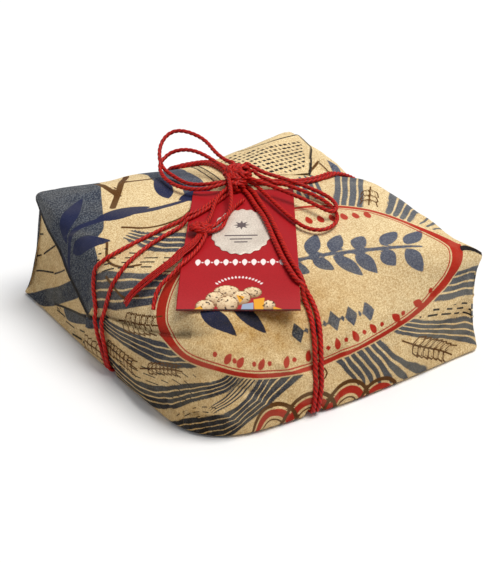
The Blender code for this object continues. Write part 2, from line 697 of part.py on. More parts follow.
def main():
    for old in list(bpy.data.objects):
        bpy.data.objects.remove(old, do_unlink=True)
    cord_look = material("red_cord", **CORD_RED)
    solids = [
        build_paper(material("kraft_paper", **PAPER)),
        build_tag(material("red_card", **CARD_RED)),
        build_seal(material("silver_seal", **SEAL_SILVER)),
        build_knot("main_knot", MAIN_KNOT, cord_look),
        build_knot("small_knot", SMALL_KNOT, cord_look),
    ]
    surfaces = [surface_of(made) for made in solids]
    cards = surfaces[1:3]
    wanted = [(name, route, CORD_RADIUS) for name, route in ring_routes().items()]
    wanted += [(name, route_of(items, radius), radius) for name, items, radius in FREE_CORDS]
    laid = []
    for name, route, radius in wanted:
        route = settled(beyond_knots(route, radius), radius, surfaces, cards, laid)
        build_cord(name, route, radius, cord_look)
        laid.append((route, radius))


main()
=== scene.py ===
"""Looks of an Easter loaf shut in a tied parcel of printed kraft paper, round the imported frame.

Sizes are in millimetres in the parcel's own plan, and in_frame turns them into the frame's
metres. A place on the parcel is s, round it from corner to corner, and k, from the knot down
to the base. The print is laid out on the flat paper: x and y run on over the shoulders and
down the sides, as if the paper were folded out.
"""

import math

import bpy
import numpy as np
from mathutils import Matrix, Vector
from mathutils.bvhtree import BVHTree


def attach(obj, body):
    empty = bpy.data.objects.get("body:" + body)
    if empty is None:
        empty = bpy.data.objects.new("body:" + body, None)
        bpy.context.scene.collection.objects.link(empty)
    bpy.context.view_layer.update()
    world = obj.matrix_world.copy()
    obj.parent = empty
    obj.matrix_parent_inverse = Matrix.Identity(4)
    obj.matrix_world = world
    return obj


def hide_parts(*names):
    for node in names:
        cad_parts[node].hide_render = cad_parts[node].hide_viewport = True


MM = 0.001
SQUARE = [(-1.0, -1.0), (1.0, -1.0), (1.0, 1.0), (-1.0, 1.0)]

# Camera: its axes, how far back, across and above the parcel it stands, and its lens
CAMERA_BACK = (-0.4707, -0.7284, 0.4977)
CAMERA_RIGHT = (0.8399, -0.5427, 0.0)
CAMERA_UP = (0.2701, 0.4180, 0.8673)
CAMERA_DISTANCE = 2040.99
CAMERA_ACROSS = 3.486
CAMERA_ABOVE = 36.446
LENS = 140.67
SENSOR = 36
CLIP_END = 50

# Studio: a pale sky all round, and a broad soft light high on the right
SKY_COLOUR = (0.96, 0.97, 1.0, 1)
SKY_STRENGTH = 0.4
KEY_FROM = (0.34, -0.2, 1.0)
KEY_STRENGTH = 2.9
KEY_SPREAD = 36
KEY_COLOUR = (1.0, 0.985, 0.96)
FLOOR_COLOUR = (0.86, 0.86, 0.86, 1)
FLOOR_ROUGHNESS = 0.7
FLOOR_REACH = 6.0
FLOOR_LEVEL = -0.0005

# Plan of the parcel, by corners in turn: front, right, back, left
BASE_CORNERS = [(-147, -161), (151, -160), (145, 157), (-151, 159)]
RIM_CORNERS = [(-143, -157), (157, -147), (151, 154), (-135, 150)]
BASE_CUTS = [62, 9, 12, 5]
RIM_CUTS = [66, 6, 7, 4]
SIDE_BOWS = [7, 3, 4, 3]
KNOT_PLACE = (38, 60)
CROWN_HEIGHT = 113
HEM_RADIUS = 5
PLAN_CENTRE = (0.43, -1.3)

# Sections round the parcel, as (s, value)
SHOULDER_HEIGHTS = [
    (0.0, 97), (0.25, 104), (0.5, 107), (0.8, 106), (0.94, 100), (1.0, 94), (1.04, 88),
    (1.11, 91), (1.2, 98), (1.32, 104), (1.46, 104), (1.58, 86), (1.72, 95), (2.0, 94),
    (2.22, 87), (2.34, 83),
    (2.45, 85), (2.7, 96), (3.0, 106), (3.2, 98), (3.43, 92), (3.7, 94),
]
WALL_HEIGHTS = [
    (0.0, 58), (0.2, 46), (0.6, 46), (1.0, 88), (1.07, 74), (1.3, 72), (1.46, 74), (1.58, 64),
    (1.85, 84), (2.0, 88), (2.34, 72), (2.7, 88), (3.0, 102), (3.2, 86), (3.43, 78), (3.7, 60),
]
SHOULDER_WIDTHS = [
    (0.0, 84), (0.2, 108), (0.55, 104), (1.0, 12), (1.07, 22), (1.3, 36), (1.46, 32),
    (1.58, 30), (1.85, 16), (2.0, 9), (2.34, 18), (2.7, 10), (3.0, 6), (3.2, 18), (3.43, 15),
    (3.7, 62),
]
SHOULDER_POWERS = [(0.0, 2.0), (0.7, 2.0), (1.0, 3.0), (1.3, 2.1), (2.0, 3.0), (2.7, 3.0),
                   (3.0, 3.2), (3.43, 2.4), (3.7, 2.0)]
TOP_POWERS = [(0.0, 2.6), (0.5, 2.6), (1.0, 3.8), (1.3, 3.5), (1.46, 2.8), (1.58, 2.2),
              (2.0, 2.2), (2.5, 1.9), (3.0, 2.0), (3.43, 2.6)]
WALL_BULGES = [(0.0, 3), (0.8, 3), (1.0, -7), (1.3, 3), (2.0, 2), (2.8, 2), (3.0, -4), (3.3, 2)]

# Folds on the left side: the flap's free edge and the lower panel's, as (y, z) points
FLAP_EDGE = [(151, 103), (137, 91), (122, 80), (100, 70), (72, 58), (52, 49), (31, 37)]
PANEL_EDGE = [(31, 37), (-6, 53), (-64, 68), (-115, 84)]
FLAP_STEP = 4
PANEL_STEP = 2.5
FLAP_REACH = (2.985, 3.415)
FLAP_TOP = 1.05
PANEL_REACH = (3.385, 3.90)
PANEL_FOOT = 2.97
BEHIND_FLAP = 16
BEHIND_FLAP_BLUR = 9
BEHIND_FLAP_FROM_Y = 28
BEHIND_FLAP_REACH = (2.995, 3.6)
LEFT_SIDE = 3.0

# Thin sheets: (columns, rows) of each, and how the side's two are crumpled and stand off
SHEET_THICKNESS = 0.3
FLAP_GRID = (130, 70)
PANEL_GRID = (170, 64)
EAR_GRID = (80, 70)
TUCK_GRID = (40, 25)
CARD_GRID = (110, 210)
FLAP_CRUMPLING = 0.6
PANEL_CRUMPLING = 0.8
FLAP_GAP = 0.3
FLAP_FLARE = 1.3
FLAP_FREE_FROM = 0.55
FLAP_HELD_FROM = 3.33
PANEL_GAP = 0.25
PANEL_TAPERS = (3.43, 3.72)
COVER_COLUMNS = 720

# Painted shade under the folds' free edges, and painted shade in the crumples' hollows with wear on
# their ridges
FLAP_SHADE_REACH = 6.5
PANEL_SHADE_REACH = 2.5
CREASE_SHADE_AND_WEAR = 0.13
CREASE_SHADE_AND_WEAR_LIMITS = (-0.035, 0.34)

# The back corner's ear and the pinched fold on the right: their long edges and the fold's ridge
EAR_RIGHT = [(148, 134), (138, 97), (117, 69), (104, 50), (92, 34)]
EAR_LEFT = [(42, 128), (42, 110), (42, 92), (42, 78), (44, 64)]
EAR_LIFT = 2.0
TUCK_RIDGE = [(106, 60), (122, 62), (132, 50), (130, 26)]
TUCK_HALF_WIDTH = 11
TUCK_RISE = 7

# Where the two cord rings cross the foot of the sides, and the grooves that they lie in
RING_CROSSINGS = [0.37, 1.59, 2.49, 3.53]
SIDE_LENGTH = 300
GROOVE_DEPTH = 5.6
GROOVE_HALF_WIDTH = 11
HOLLOW_DEPTH = 11
HOLLOW_RADII = (15, 38)
PINCH_DEPTH = 2.2
PINCH_WIDTH = 11

# Stretches over which the side's forms begin or end: along s, along y, and down k
LEFT_SIDE_START = (2.97, 3.0)
LEFT_SIDE_END = (3.86, 3.95)
RECESS_END = (24, 32)
PINCH_START = (1.0, 1.6)
RECESS_START = (1.2, 1.6)
FOLDS_END = (2.9, 3.0)

# Cord: a place of a route is (x, y) on the top, ("side", s, k) on a side, or (x, y, z) in the air
CORD_RADIUS = 1.8
FRAYED_RADIUS = 3.1
TOUCH_GAP = 0.45
STRAND_OFFSET = 2.4
FRONT_OFFSET = 3.0
SAMPLE_SPACING = 2.2
SETTLE_TURNS = 40
LOWEST_OVER_CARD = 60
SETTLE_EASING = 0.25
PUSH_ONLY_TURNS = 3

FOOT_ROWS = [2.9, 3.0, 3.12, 3.35, 3.6, 3.75]
HOLLOW_ROWS = [3.84, 3.9, 3.95]
LEFT_STRAND_1 = [
    (12, 46), (4, 41), (-38, 22), (-69, 22), (-100, 21), (-122, 22), ("side", 3.423, 1.32),
    ("side", 3.403, 1.64), ("side", 3.41, 2.12), ("side", 3.455, 2.4), ("side", 3.485, 2.61),
    ("side", 3.515, 2.8),
]
LEFT_STRAND_2 = [
    (13, 40), (0, 34), (-25, 23), (-51, 14), (-78, 11), (-108, 5), ("side", 3.507, 1.49),
    ("side", 3.487, 2.12), ("side", 3.49, 2.42), ("side", 3.507, 2.61), ("side", 3.53, 2.8),
]
BACK_RIGHT = [
    ("side", 1.59, 2.5), ("side", 1.59, 2.1), ("side", 1.592, 1.7), (135, 28), (114, 24), (92, 19),
    (72, 22), (52, 35), (34, 46),
]
FRONT = [
    (22, 38), (22, 28), (15, 4), (8, -22), (-5, -58), (-16, -89, 113.2), (-21, -108, 112.2),
    (-23.5, -119, 110.6), (-23, -128.5, 100.5), ("side", 0.373, 1.45), ("side", 0.387, 1.6),
    ("side", 0.38, 1.87), ("side", 0.376, 2.3), ("side", 0.375, 2.62),
]
BACK = [
    ("side", 2.49, 2.5), ("side", 2.49, 2.1), ("side", 2.49, 1.6), (12, 147), (20, 141), (31, 130),
    (34, 116), (30, 82), (26, 60),
]

# How the cords are drawn: fuller than the solids, and loose strands at the frayed end
FULLNESS = 1.1
FRONT_FULLNESS = 1.3
DRAWN_SPACING = 1.0
FRAYED_SPACING = 1.5
FRAYED_STRANDS = 14
FRAYED_SIDES = 8
FRAYED_PART = 0.06
FREE_CORDS = [
    # (name, radius, what its far end meets, route)
    ("tag_string", CORD_RADIUS, "object", [
        (8, 17, 117), (-5, 11, 117), (-23, -3, 117), (-38, -19, 117), (-48, -18, 117),
    ]),
    ("tail_1", CORD_RADIUS, "object", [
        (12, 47, 127), (5, 35, 126), (-8, 12, 123), (-22, -5, 120), (-35, -12, 119),
        (-44, -14, 119),
    ]),
    ("tail_2", CORD_RADIUS, "object", [
        (12, 40, 121), (-6, 33, 121), (-22, 19, 120), (-37, 1, 119), (-48, -8, 120),
    ]),
    ("frayed_end", FRAYED_RADIUS, "bare", [
        (-62, -20, 117), (-77, -30, 114), (-94, -36, 112), (-106, -37, 109), (-119, -38, 104),
        (-132, -37, 97), (-141, -33, 88), (-146, -32, 80),
    ]),
    ("thin_end", CORD_RADIUS, "bare", [
        (-58, -20, 118), (-66, -31, 116), (-83, -41, 113), (-98, -49, 110), (-116, -52, 105),
        (-127, -54, 98), (-135, -62, 86),
    ]),
    ("left_loop_1", CORD_RADIUS, "object", [
        (25, 56, 129), (21, 66, 132), (18, 78, 135), (19, 103, 140), (10, 122, 143), (2, 132, 141),
        (-10, 131, 134), (-19, 121, 126), (-23, 110, 119), (-20, 92, 116), (-17, 72, 116),
        (-2, 56, 119), (13, 50, 122),
    ]),
    ("left_loop_2", CORD_RADIUS, "object", [
        (19, 54, 125), (16, 68, 128), (11, 83, 132), (5, 98, 134), (-4, 112, 131), (-15, 117, 126),
        (-24, 111, 120), (-30, 96, 117), (-28, 70, 117), (-17, 50, 120), (-2, 43, 123),
        (12, 45, 124),
    ]),
    ("right_loop_1", CORD_RADIUS, "object", [
        (32, 45, 127), (37, 34, 125), (47, 24, 122), (60, 2, 119), (68, -15, 117), (69, -36, 116),
        (61, -57, 116), (47, -68, 116), (34, -68, 116), (26, -56, 116), (25, -38, 117),
        (26, -16, 118), (29, 14, 119), (29, 32, 121),
    ]),
    ("right_loop_2", CORD_RADIUS, "object", [
        (31, 50, 130), (41, 38, 127), (53, 25, 124), (65, 4, 121), (73, -15, 119), (73, -34, 119),
        (64, -51, 120), (56, -53, 121), (54, -38, 121), (48, -15, 122), (38, 11, 124),
        (28, 31, 126),
    ]),
]

# Twist of the cord: three strands laid round each other
STRANDS = 3
STRAND_PLACE = 0.42
STRAND_SIZE = 0.58
TWIST_LENGTH = 15
TAPER_LENGTH = 4
CORD_SIDES = 18
CORD_STEP = 1.1

# Knots: (centre, radii) of the ellipsoid that the cord is wound on
MAIN_KNOT = ((22.5, 49, 124.8), (13.5, 13, 10))
SMALL_KNOT = ((-56, -12, 119.6), (10.5, 8.5, 6))
LOWER_LUMP = ((15, 40, 119.5), (10, 8, 7.5))
KNOT_TURN = -33

# Turns of cord round the knots: the cord's radius, then each ring's axis and its places along it
RING_STEPS = 48
MAIN_TURN_RADIUS = 2.3
LOWER_TURN_RADIUS = 2.1
SMALL_TURN_RADIUS = 2.0
MAIN_WRAPS = [((0.95, 0.1, 0.3), (-0.4, 0.0, 0.4)), ((0.3, 0.6, 0.75), (-0.25, 0.25)),
              ((-0.4, 0.9, -0.2), (-0.25, 0.25)), ((0.1, 0.2, 1.0), (-0.4, 0.0)),
              ((0.7, -0.6, 0.4), (-0.1, 0.45))]
LOWER_WRAPS = [((0.8, -0.5, 0.2), (-0.5, 0.0, 0.5)), ((0.1, 0.9, 0.4), (-0.3, 0.3))]
SMALL_WRAPS = [((0.9, 0.2, 0.3), (-0.4, 0.0, 0.4)), ((0.1, 0.8, 0.6), (-0.3, 0.3)),
               ((0.3, 0.2, 1.0), (0.0, 0.4))]

# Tag: plan of its corners, near left and right of the knot and then down the front
TAG_TOP = [(-19, 60), (61, 15)]
TAG_FOOT = [(-129.5, -91), (-40.5, -148.5)]
TAG_THICKNESS = 0.8
TAG_ROWS = 14
TAG_WIDTH = 100
TAG_LENGTH = 185

# Seal on the tag: its form in shares of the tag's size, and its relief as (place, rise, width)
SEAL_CENTRE = (0.5, 0.41)
SEAL_RADII = (0.272, 0.208)
SEAL_SCALLOPS = 20
SEAL_SCALLOP_DEPTH = 0.025
SEAL_THICKNESS = 0.6
SEAL_GAP = 0.25
SEAL_RINGS = 46
SEAL_SIDES = 240
SEAL_RIDGES = [(0.9, 0.25, 0.02), (0.78, 0.2, 0.015)]
SEAL_RIBBED = (0.8, 0.88)
SEAL_RIBS = 60
SEAL_RIB_RISE = 0.12

# Print of the tag and the seal, in millimetres from the tag's top left corner: bars are
# (y, half width), rows and turns (first, last, count), and the tick (half length, width)
SEAL_MIDDLE = (50, 78)
SEAL_BARS = [(84, 15), (90, 10), (95, 6)]
SEAL_BAR_HALF = 1
STAR_CENTRE = (50, 66)
STAR_RADII = (8.0, 3.6)
TAG_LEAVES = (14, 86, 10)
TAG_LEAF_ENDS = (121, 131)
TAG_LEAF_WIDTH = 4.6
TAG_DOTS = (18, 82, 9)
TAG_DOTS_AT = 126
ARC_MIDDLE = (50, 172)
ARC_RADIUS = 25
ARC_TURNS = (42, 138, 15)
ARC_TICK = (1.9, 1.7)
FRUITS_EACH = 7

# Rolls pictured on the tag, from the back ones to the front: (middle x, y, half width, half height)
ROLLS = [(40, 166, 11, 8.5), (61, 166, 8, 6.5), (31, 173, 8, 8), (52, 172, 8, 8), (23, 181, 8, 7),
         (74, 180, 6, 5.5), (41, 179, 9, 9)]
# Plain shapes beside the rolls, and the dark line under them
AROUND_ROLLS = [
    ("amber", [(62, 174), (71, 172), (70, 185), (63, 185)]),
    ("amber", [(48, 169), (55, 171), (51, 178)]),
    ("amber", [(13, 185), (20, 180), (22, 185)]),
    ("amber", [(78, 181), (88, 185), (78, 185)]),
    ("grey", [(53, 179), (62, 177), (62, 185), (52, 185)]),
    ("dark", [(0, 183.9), (100, 183.9), (100, 186), (0, 186)]),
]

# Stretches of k over which the crumples begin, deepen and end
CRUMPLES_START = (0.05, 0.3)
CRUMPLES_DEEPEN = (1.1, 2.2)
CRUMPLES_END = (2.85, 2.97)

# Creases of the paper: random small ones, and strong ones as (start, end, rise, width)
SMALL_CREASES = 320
TOP_REACH = 150
CREASE_FIELD = ((-235, 250), (-235, 240))
CREASE_HALF_LENGTHS = (9, 30)
CREASE_WIDTHS = (1.6, 4.0)
RISE_ON_TOP = 0.4
CREASE_STRENGTH = 1.5
CREASE_BEND = 2.2
CREASES = [
    ((-150, -96), (-112, -128), -2.2, 5), ((-132, -84), (-108, -116), 1.4, 3),
    ((-34, -206), (-78, -164), 1.6, 4), ((-14, -204), (34, -172), 1.5, 4),
    ((-28, -190), (-52, -150), -1.0, 3), ((-10, -190), (14, -158), -1.0, 3),
    ((-204, -112), (-128, -178), 2.4, 5), ((-206, -136), (-140, -206), -2.6, 4),
    ((-190, -160), (-118, -216), 2.4, 4), ((-196, -178), (-150, -226), -2.4, 4),
    ((-160, -150), (-84, -206), -1.8, 5), ((-120, -190), (-60, -224), 1.8, 4),
    ((-212, -30), (-190, -130), 1.8, 4), ((-216, -60), (-204, -150), -2.0, 3),
    ((-186, 0), (-160, -70), 1.2, 4), ((-200, 40), (-196, -30), -1.4, 4),
    ((128, -128), (170, -158), 1.8, 4), ((118, -164), (176, -176), -1.6, 4),
    ((104, -184), (172, -196), 1.4, 4), ((92, -200), (168, -214), -1.6, 4),
    ((60, -196), (120, -222), 1.2, 4), ((140, -150), (150, -214), 1.2, 3),
    ((-122, 16), (-70, 28), 0.9, 4), ((-128, 4), (-70, -6), -0.8, 4),
    ((92, 30), (150, 34), 1.0, 4), ((100, 10), (160, 2), -1.0, 4), ((84, 26), (140, -14), 0.8, 4),
    ((28, 84), (40, 150), 1.0, 4), ((10, 90), (-4, 150), -0.9, 4),
    ((60, -40), (120, -100), 0.5, 8), ((-60, -120), (60, -176), 0.6, 9),
    ((-150, 150), (-60, 120), 0.6, 6), ((-170, 120), (-120, 60), 0.8, 6),
]

# Fine mesh of the wrap: columns on each side and rows down each stretch
SIDE_COLUMNS = [190, 112, 96, 190]
CORNER_CROWDING = 0.45
ROOF_ROWS = 66
SHOULDER_ROWS = 42
WALL_ROWS = 44
UNDER_ROWS = 13

# Steps at which the forms are sampled, and how far a side's own direction holds at a sharp corner
FLAT_STEPS = 321
RIM_STEPS = 2001
OUTLINE_STEP = 1e-3
NORMAL_STEP = 2e-3
SHARP_CORNER = 0.035


def in_frame(points):
    """Points in the frame's metres."""
    centre = np.array([*PLAN_CENTRE, 0.0])
    return (np.asarray(points, float) - centre) * MM


def round_the_parcel(stations, s):
    """The value at s, eased from each station to the next and back to the first."""
    places = np.array([place for place, _ in stations] + [stations[0][0] + 4.0])
    values = np.array([value for _, value in stations] + [stations[0][1]], float)
    s = np.mod(s, 4.0)
    after = np.clip(np.searchsorted(places, s, side="right"), 1, len(places) - 1)
    share = (s - places[after - 1]) / (places[after] - places[after - 1])
    eased = share * share * (3 - 2 * share)
    return values[after - 1] + (values[after] - values[after - 1]) * eased


def outline(corners, cuts, s):
    """Points of the parcel's bowed outline with rounded corners, at each s."""
    s = np.mod(np.asarray(s, float), 4.0)
    corners = np.array(corners, float)
    points = np.zeros(s.shape + (2,))
    for side in range(4):
        before, here, after, beyond = corners[np.arange(side - 1, side + 3) % 4]
        first_cut, last_cut = cuts[side], cuts[(side + 1) % 4]
        length = math.dist(here, after)
        along = (after - here) / length
        chosen = (s >= side) & (s < side + 1)
        share = (s[chosen] - side)[:, None]
        start, end = first_cut / length, 1 - last_cut / length
        first = rounded(before, here, after, first_cut, 0.5 + share / (2 * start))
        last = rounded(here, after, beyond, last_cut, 0.5 - (1 - share) / (2 * (1 - end)))
        straight = here + (after - here) * share
        bent = np.where(share < start, first, np.where(share > end, last, straight))
        out = np.array([along[1], -along[0]])
        points[chosen] = bent + out * SIDE_BOWS[side] * np.sin(math.pi * share) ** 2
    return points


def rounded(before, corner, after, cut, turn):
    """Points of a corner that is rounded from so far before it to so far after it."""
    a = corner + (before - corner) / math.dist(before, corner) * cut
    c = corner + (after - corner) / math.dist(after, corner) * cut
    return a * (1 - turn) ** 2 + 2 * corner * turn * (1 - turn) + c * turn**2


def outward(s):
    """Unit vectors square to the rim."""
    ahead = (outline(RIM_CORNERS, RIM_CUTS, s + OUTLINE_STEP)
             - outline(RIM_CORNERS, RIM_CUTS, s - OUTLINE_STEP))
    out = np.stack([ahead[..., 1], -ahead[..., 0]], -1)
    return out / np.linalg.norm(out, axis=-1, keepdims=True)


def eased_step(value, low, high):
    """0 up to low, 1 from high on, and a smooth rise between them."""
    share = np.clip((value - low) / (high - low), 0, 1)
    return share * share * (3 - 2 * share)


def beside_rings(s):
    """Distances from each crossing of a cord ring, round the parcel."""
    return [np.abs(np.mod(s - crossing + 2, 4) - 2) * SIDE_LENGTH for crossing in RING_CROSSINGS]


def groove(s, from_pole):
    """How much of the cord grooves' depth there is, from_pole of the way out from the middle."""
    return np.max([1 - eased_step(sideways * from_pole, GROOVE_HALF_WIDTH / 2, GROOVE_HALF_WIDTH)
                   for sideways in beside_rings(s)], axis=0)


def edge_height(edge, y):
    """Height of a fold's free edge on the left side, over y."""
    return np.interp(y, *np.array(edge[::-1], float).T)


def recess(points, s):
    """How far the wall lies back behind the left flap."""
    y, z = points[..., 1], points[..., 2]
    on_left = eased_step(s, *LEFT_SIDE_START) * (1 - eased_step(s, *LEFT_SIDE_END))
    above_edge = z - edge_height(FLAP_EDGE, y)
    behind = 1 - eased_step(above_edge, BEHIND_FLAP - BEHIND_FLAP_BLUR, BEHIND_FLAP)
    return FLAP_STEP * behind * eased_step(y, *RECESS_END) * on_left


def roof_height(s, inside, reach):
    """Height of the top, and of its rounded shoulder, so far inside the wall."""
    high = round_the_parcel(SHOULDER_HEIGHTS, s)
    low = round_the_parcel(WALL_HEIGHTS, s)
    wide = round_the_parcel(SHOULDER_WIDTHS, s)
    power = round_the_parcel(SHOULDER_POWERS, s)
    dome = round_the_parcel(TOP_POWERS, s)
    over = np.clip((wide - inside) / wide, 0, 1) ** power
    drop = (high - low) * (1 - (1 - over) ** (1 / power))
    out_share = np.clip(1 - inside / reach, 0, 1)
    return CROWN_HEIGHT - (CROWN_HEIGHT - high) * out_share**dome - drop


def paper_height(plan):
    """Height of the top over places in the plan."""
    s = np.linspace(0, 4, RIM_STEPS)
    rim = outline(RIM_CORNERS, RIM_CUTS, s) - np.array(KNOT_PLACE, float)
    angles = np.unwrap(np.arctan2(rim[:, 1], rim[:, 0]))
    x, y = np.moveaxis(np.asarray(plan, float) - KNOT_PLACE, -1, 0)
    wanted = angles[0] + np.mod(np.arctan2(y, x) - angles[0], 2 * math.pi)
    there = np.interp(wanted, angles, s)
    reach = np.interp(wanted, angles, np.linalg.norm(rim, axis=-1))
    return roof_height(there, reach - np.hypot(x, y), reach)


def raised(plan, height):
    """Points at a height over places in the plan."""
    return np.concatenate([plan, height[..., None]], -1)


def paper(s, k, recessed=True):
    """Points of the wrap: k is 0 at the knot, 1 to 2 over the shoulder, 3 at the foot, 4 below."""
    s, k = (np.array(part, float) for part in np.broadcast_arrays(s, k))
    shape = s.shape
    s, k = s.ravel(), k.ravel()
    rim = outline(RIM_CORNERS, RIM_CUTS, s)
    foot = outline(BASE_CORNERS, BASE_CUTS, s)
    out = outward(s)
    pole = np.array(KNOT_PLACE, float)
    reach = np.linalg.norm(rim - pole, axis=-1)
    low = round_the_parcel(WALL_HEIGHTS, s)
    wide = round_the_parcel(SHOULDER_WIDTHS, s)
    power = round_the_parcel(SHOULDER_POWERS, s)

    turn = np.clip(k - 1, 0, 1) * math.pi / 2
    inside = np.where(k < 1, reach + (wide - reach) * np.clip(k, 0, 1),
                      wide * (1 - np.sin(turn) ** (2 / power)))
    roof = roof_height(s, inside, reach)
    down = np.clip(k - 2, 0, 1)
    lift = GROOVE_DEPTH * groove(s, 1.0)
    height = np.where(k < 2, roof, lift + (low - lift) * (1 - down))
    plan = rim + (pole - rim) * (inside / reach)[:, None]
    wall = rim + (foot - rim) * down[:, None]
    wall = wall + out * (round_the_parcel(WALL_BULGES, s) * 4 * down * (1 - down))[:, None]
    near_floor = np.clip(1 - (height - lift) / HEM_RADIUS, 0, 1)
    wall = wall - out * (HEM_RADIUS * (1 - np.sqrt(1 - near_floor**2)))[:, None]
    plan = np.where((k < 2)[:, None], plan, wall)

    under = np.clip(k - 3, 0, 1)
    foot_in = foot - out * HEM_RADIUS
    below = foot_in + (pole - foot_in) * under[:, None]
    plan = np.where((k > 3)[:, None], below, plan)
    from_pole = np.linalg.norm(below - pole, axis=-1)
    hollow = HOLLOW_DEPTH * (1 - eased_step(from_pole, *HOLLOW_RADII))
    ceiling = np.maximum(GROOVE_DEPTH * groove(s, 1 - under), hollow)
    height = np.where(k > 3, ceiling, height)

    points = raised(plan, height)
    above_foot = 1 - eased_step(k, *FOLDS_END)
    squeeze = np.max([np.exp(-((sideways / PINCH_WIDTH) ** 2)) for sideways in beside_rings(s)], axis=0)
    squeeze = squeeze * PINCH_DEPTH * eased_step(k, *PINCH_START) * above_foot
    if recessed:
        squeeze = squeeze + recess(points, s) * eased_step(k, *RECESS_START) * above_foot
    points[:, :2] -= out * squeeze[:, None]
    return points.reshape(shape + (3,))


def paper_normal(s, k):
    """Unit vectors straight out of the wrap."""
    round_way = paper(s + NORMAL_STEP, k) - paper(s - NORMAL_STEP, k)
    down_way = paper(s, k + NORMAL_STEP) - paper(s, k - NORMAL_STEP)
    normal = np.cross(down_way, round_way)
    return normal / np.linalg.norm(normal, axis=-1, keepdims=True)


def grid_normals(grid):
    """Unit normals of a grid of points, rows down and columns round to the right."""
    down = np.gradient(grid, axis=0)
    across = np.gradient(grid, axis=1)
    normals = np.cross(down, across)
    return normals / np.maximum(np.linalg.norm(normals, axis=-1, keepdims=True), 1e-9)


def fold_out_direction(s, side):
    """The way in which the paper runs on down each side when it is folded out flat."""
    low = np.where(side == 0, side - 1.0, side + SHARP_CORNER)
    high = np.where(side == 3, side + 2.0, side + 1 - SHARP_CORNER)
    return outward(np.clip(s, low, high))


def flat_places(s, k, side):
    """Where places of the wrap lie on the flat paper: s by column, k by row and column."""
    rows = np.linspace(0, 4, FLAT_STEPS)
    points = paper(s, rows[:, None], recessed=False)
    out = fold_out_direction(s, side)
    steps = np.diff(points, axis=0)
    advance = (steps[..., :2] * out).sum(-1)
    extra = np.sqrt(advance**2 + steps[..., 2] ** 2) - advance
    extra = np.concatenate([np.zeros((1, len(s))), np.cumsum(extra, axis=0)])
    k = np.broadcast_to(k, (len(k), len(s)))
    places = paper(s, k, recessed=False)[..., :2]
    for column in range(len(s)):
        beyond = np.interp(k[:, column], rows, extra[:, column])
        places[:, column] += out[column] * beyond[:, None]
    return places


# Print on the flat paper

# The panel: its outline, its red border, which swells at both ends, and the thin line inside it
OVAL = [(-104, -42), (-30, -14), (44, -14), (92, -44), (120, -92), (138, -136), (117, -170),
        (52, -184), (-42, -191), (-112, -172), (-149, -130), (-152, -82), (-136, -60)]
OVAL_MIDDLE = (-10, -104)
OVAL_FLATNESS = 0.62
BORDER_WIDTH = 4.2
BORDER_SWELL = 6.5
SWELL_TURN = 0.42
SWELL_POWER = 12
INNER_LINE = (6.2, 0.55)
OUTSIDE_BORDER = 1.2
FAR = 60.0
PRINT_MARGIN = 8.0
LINE_MARGIN = 5
# The layer behind the flap is printed apart, this far away, and so lies beyond an x of its own
BELOW_FLAP = (-400, 0)
BELOW_FLAP_FROM = -260

# Bands of the streams: how they waver, swell and thin out towards their ends
STREAM_WAVER = 0.06
STREAM_SWELL = 0.14
STREAM_END = 9
PLAIN_SHARE = 0.6

STREAMS = [
    # (first edge, last edge, number of bands between them, share of ink)
    ([(122, 40), (108, 17), (90, -8), (70, -36)], [(148, 22), (133, 2), (117, -20), (94, -50)], 4, 0.78),
    ([(66, 32), (48, 2)], [(98, 38), (78, -18)], 5, 0.6),
    ([(160, 0), (143, -24), (117, -54), (106, -66)],
     [(170, -60), (143, -70), (131, -79), (118, -92)], 4, 0.78),
    ([(172, -64), (145, -75), (128, -86)], [(176, -92), (148, -99), (132, -104)], 3, 0.36),
    ([(98, -146), (115, -157), (135, -160), (162, -158)],
     [(80, -166), (100, -178), (125, -186), (162, -193)], 4, 0.76),
    ([(56, -166), (77, -181), (108, -198), (160, -216)],
     [(40, -172), (59, -187), (95, -209), (150, -240)], 4, 0.76),
    ([(34, -176), (44, -189), (58, -205), (82, -223), (108, -245)],
     [(-18, -181), (-12, -192), (-6, -200), (0, -209), (8, -220)], 7, 0.68),
    ([(-178, 8), (-179, -6), (-167, -49), (-155, -88), (-144, -110), (-126, -126)],
     [(-192, 12), (-191, -6), (-183, -54), (-174, -101), (-152, -135), (-132, -150)], 4, 0.8),
    ([(-210, 6), (-209, -30), (-203, -66), (-193, -98), (-173, -130), (-146, -157), (-128, -165),
      (-108, -158)],
     [(-230, 4), (-226, -50), (-222, -84), (-203, -126), (-176, -153), (-147, -173), (-120, -179),
      (-96, -164)], 4, 0.76),
    ([(-96, -166), (-116, -177), (-139, -180), (-162, -174)],
     [(-84, -170), (-97, -184), (-128, -191), (-158, -184)], 4, 0.46),
    ([(-82, -172), (-101, -188), (-130, -195), (-168, -180), (-207, -139), (-228, -108)],
     [(-40, -188), (-66, -202), (-112, -215), (-158, -217), (-210, -182), (-234, -154)], 5, 0.82),
    ([(-94, 44), (-84, 28), (-62, 7), (-46, -12)],
     [(-108, 38), (-101, 5), (-84, -20), (-70, -40)], 4, 0.72),
    ([(-158, 40), (-151, 29), (-130, -6), (-113, -30), (-100, -48)],
     [(-190, 36), (-185, 29), (-163, -17), (-133, -57), (-120, -76)], 4, 0.8),
    ([(160, -162), (168, -120), (163, -60)], [(190, -162), (196, -110), (188, -58)], 4, 0.72),
    ([(206, -162), (214, -110), (206, -50)], [(232, -162), (240, -110), (230, -46)], 4, 0.72),
    ([(170, 40), (200, 20), (230, 34), (250, 16)],
     [(170, -30), (200, -44), (230, -32), (250, -46)], 7, 0.7),
    ([(-60, 190), (-20, 184), (20, 192), (60, 186)],
     [(-60, 250), (-20, 240), (20, 252), (60, 244)], 6, 0.7),
    ([(176, 150), (200, 140), (250, 146)], [(172, 90), (200, 84), (250, 92)], 6, 0.7),
    ([(-180, 250), (-140, 190), (-100, 176)], [(-120, 262), (-96, 240), (-72, 232)], 6, 0.7),
]

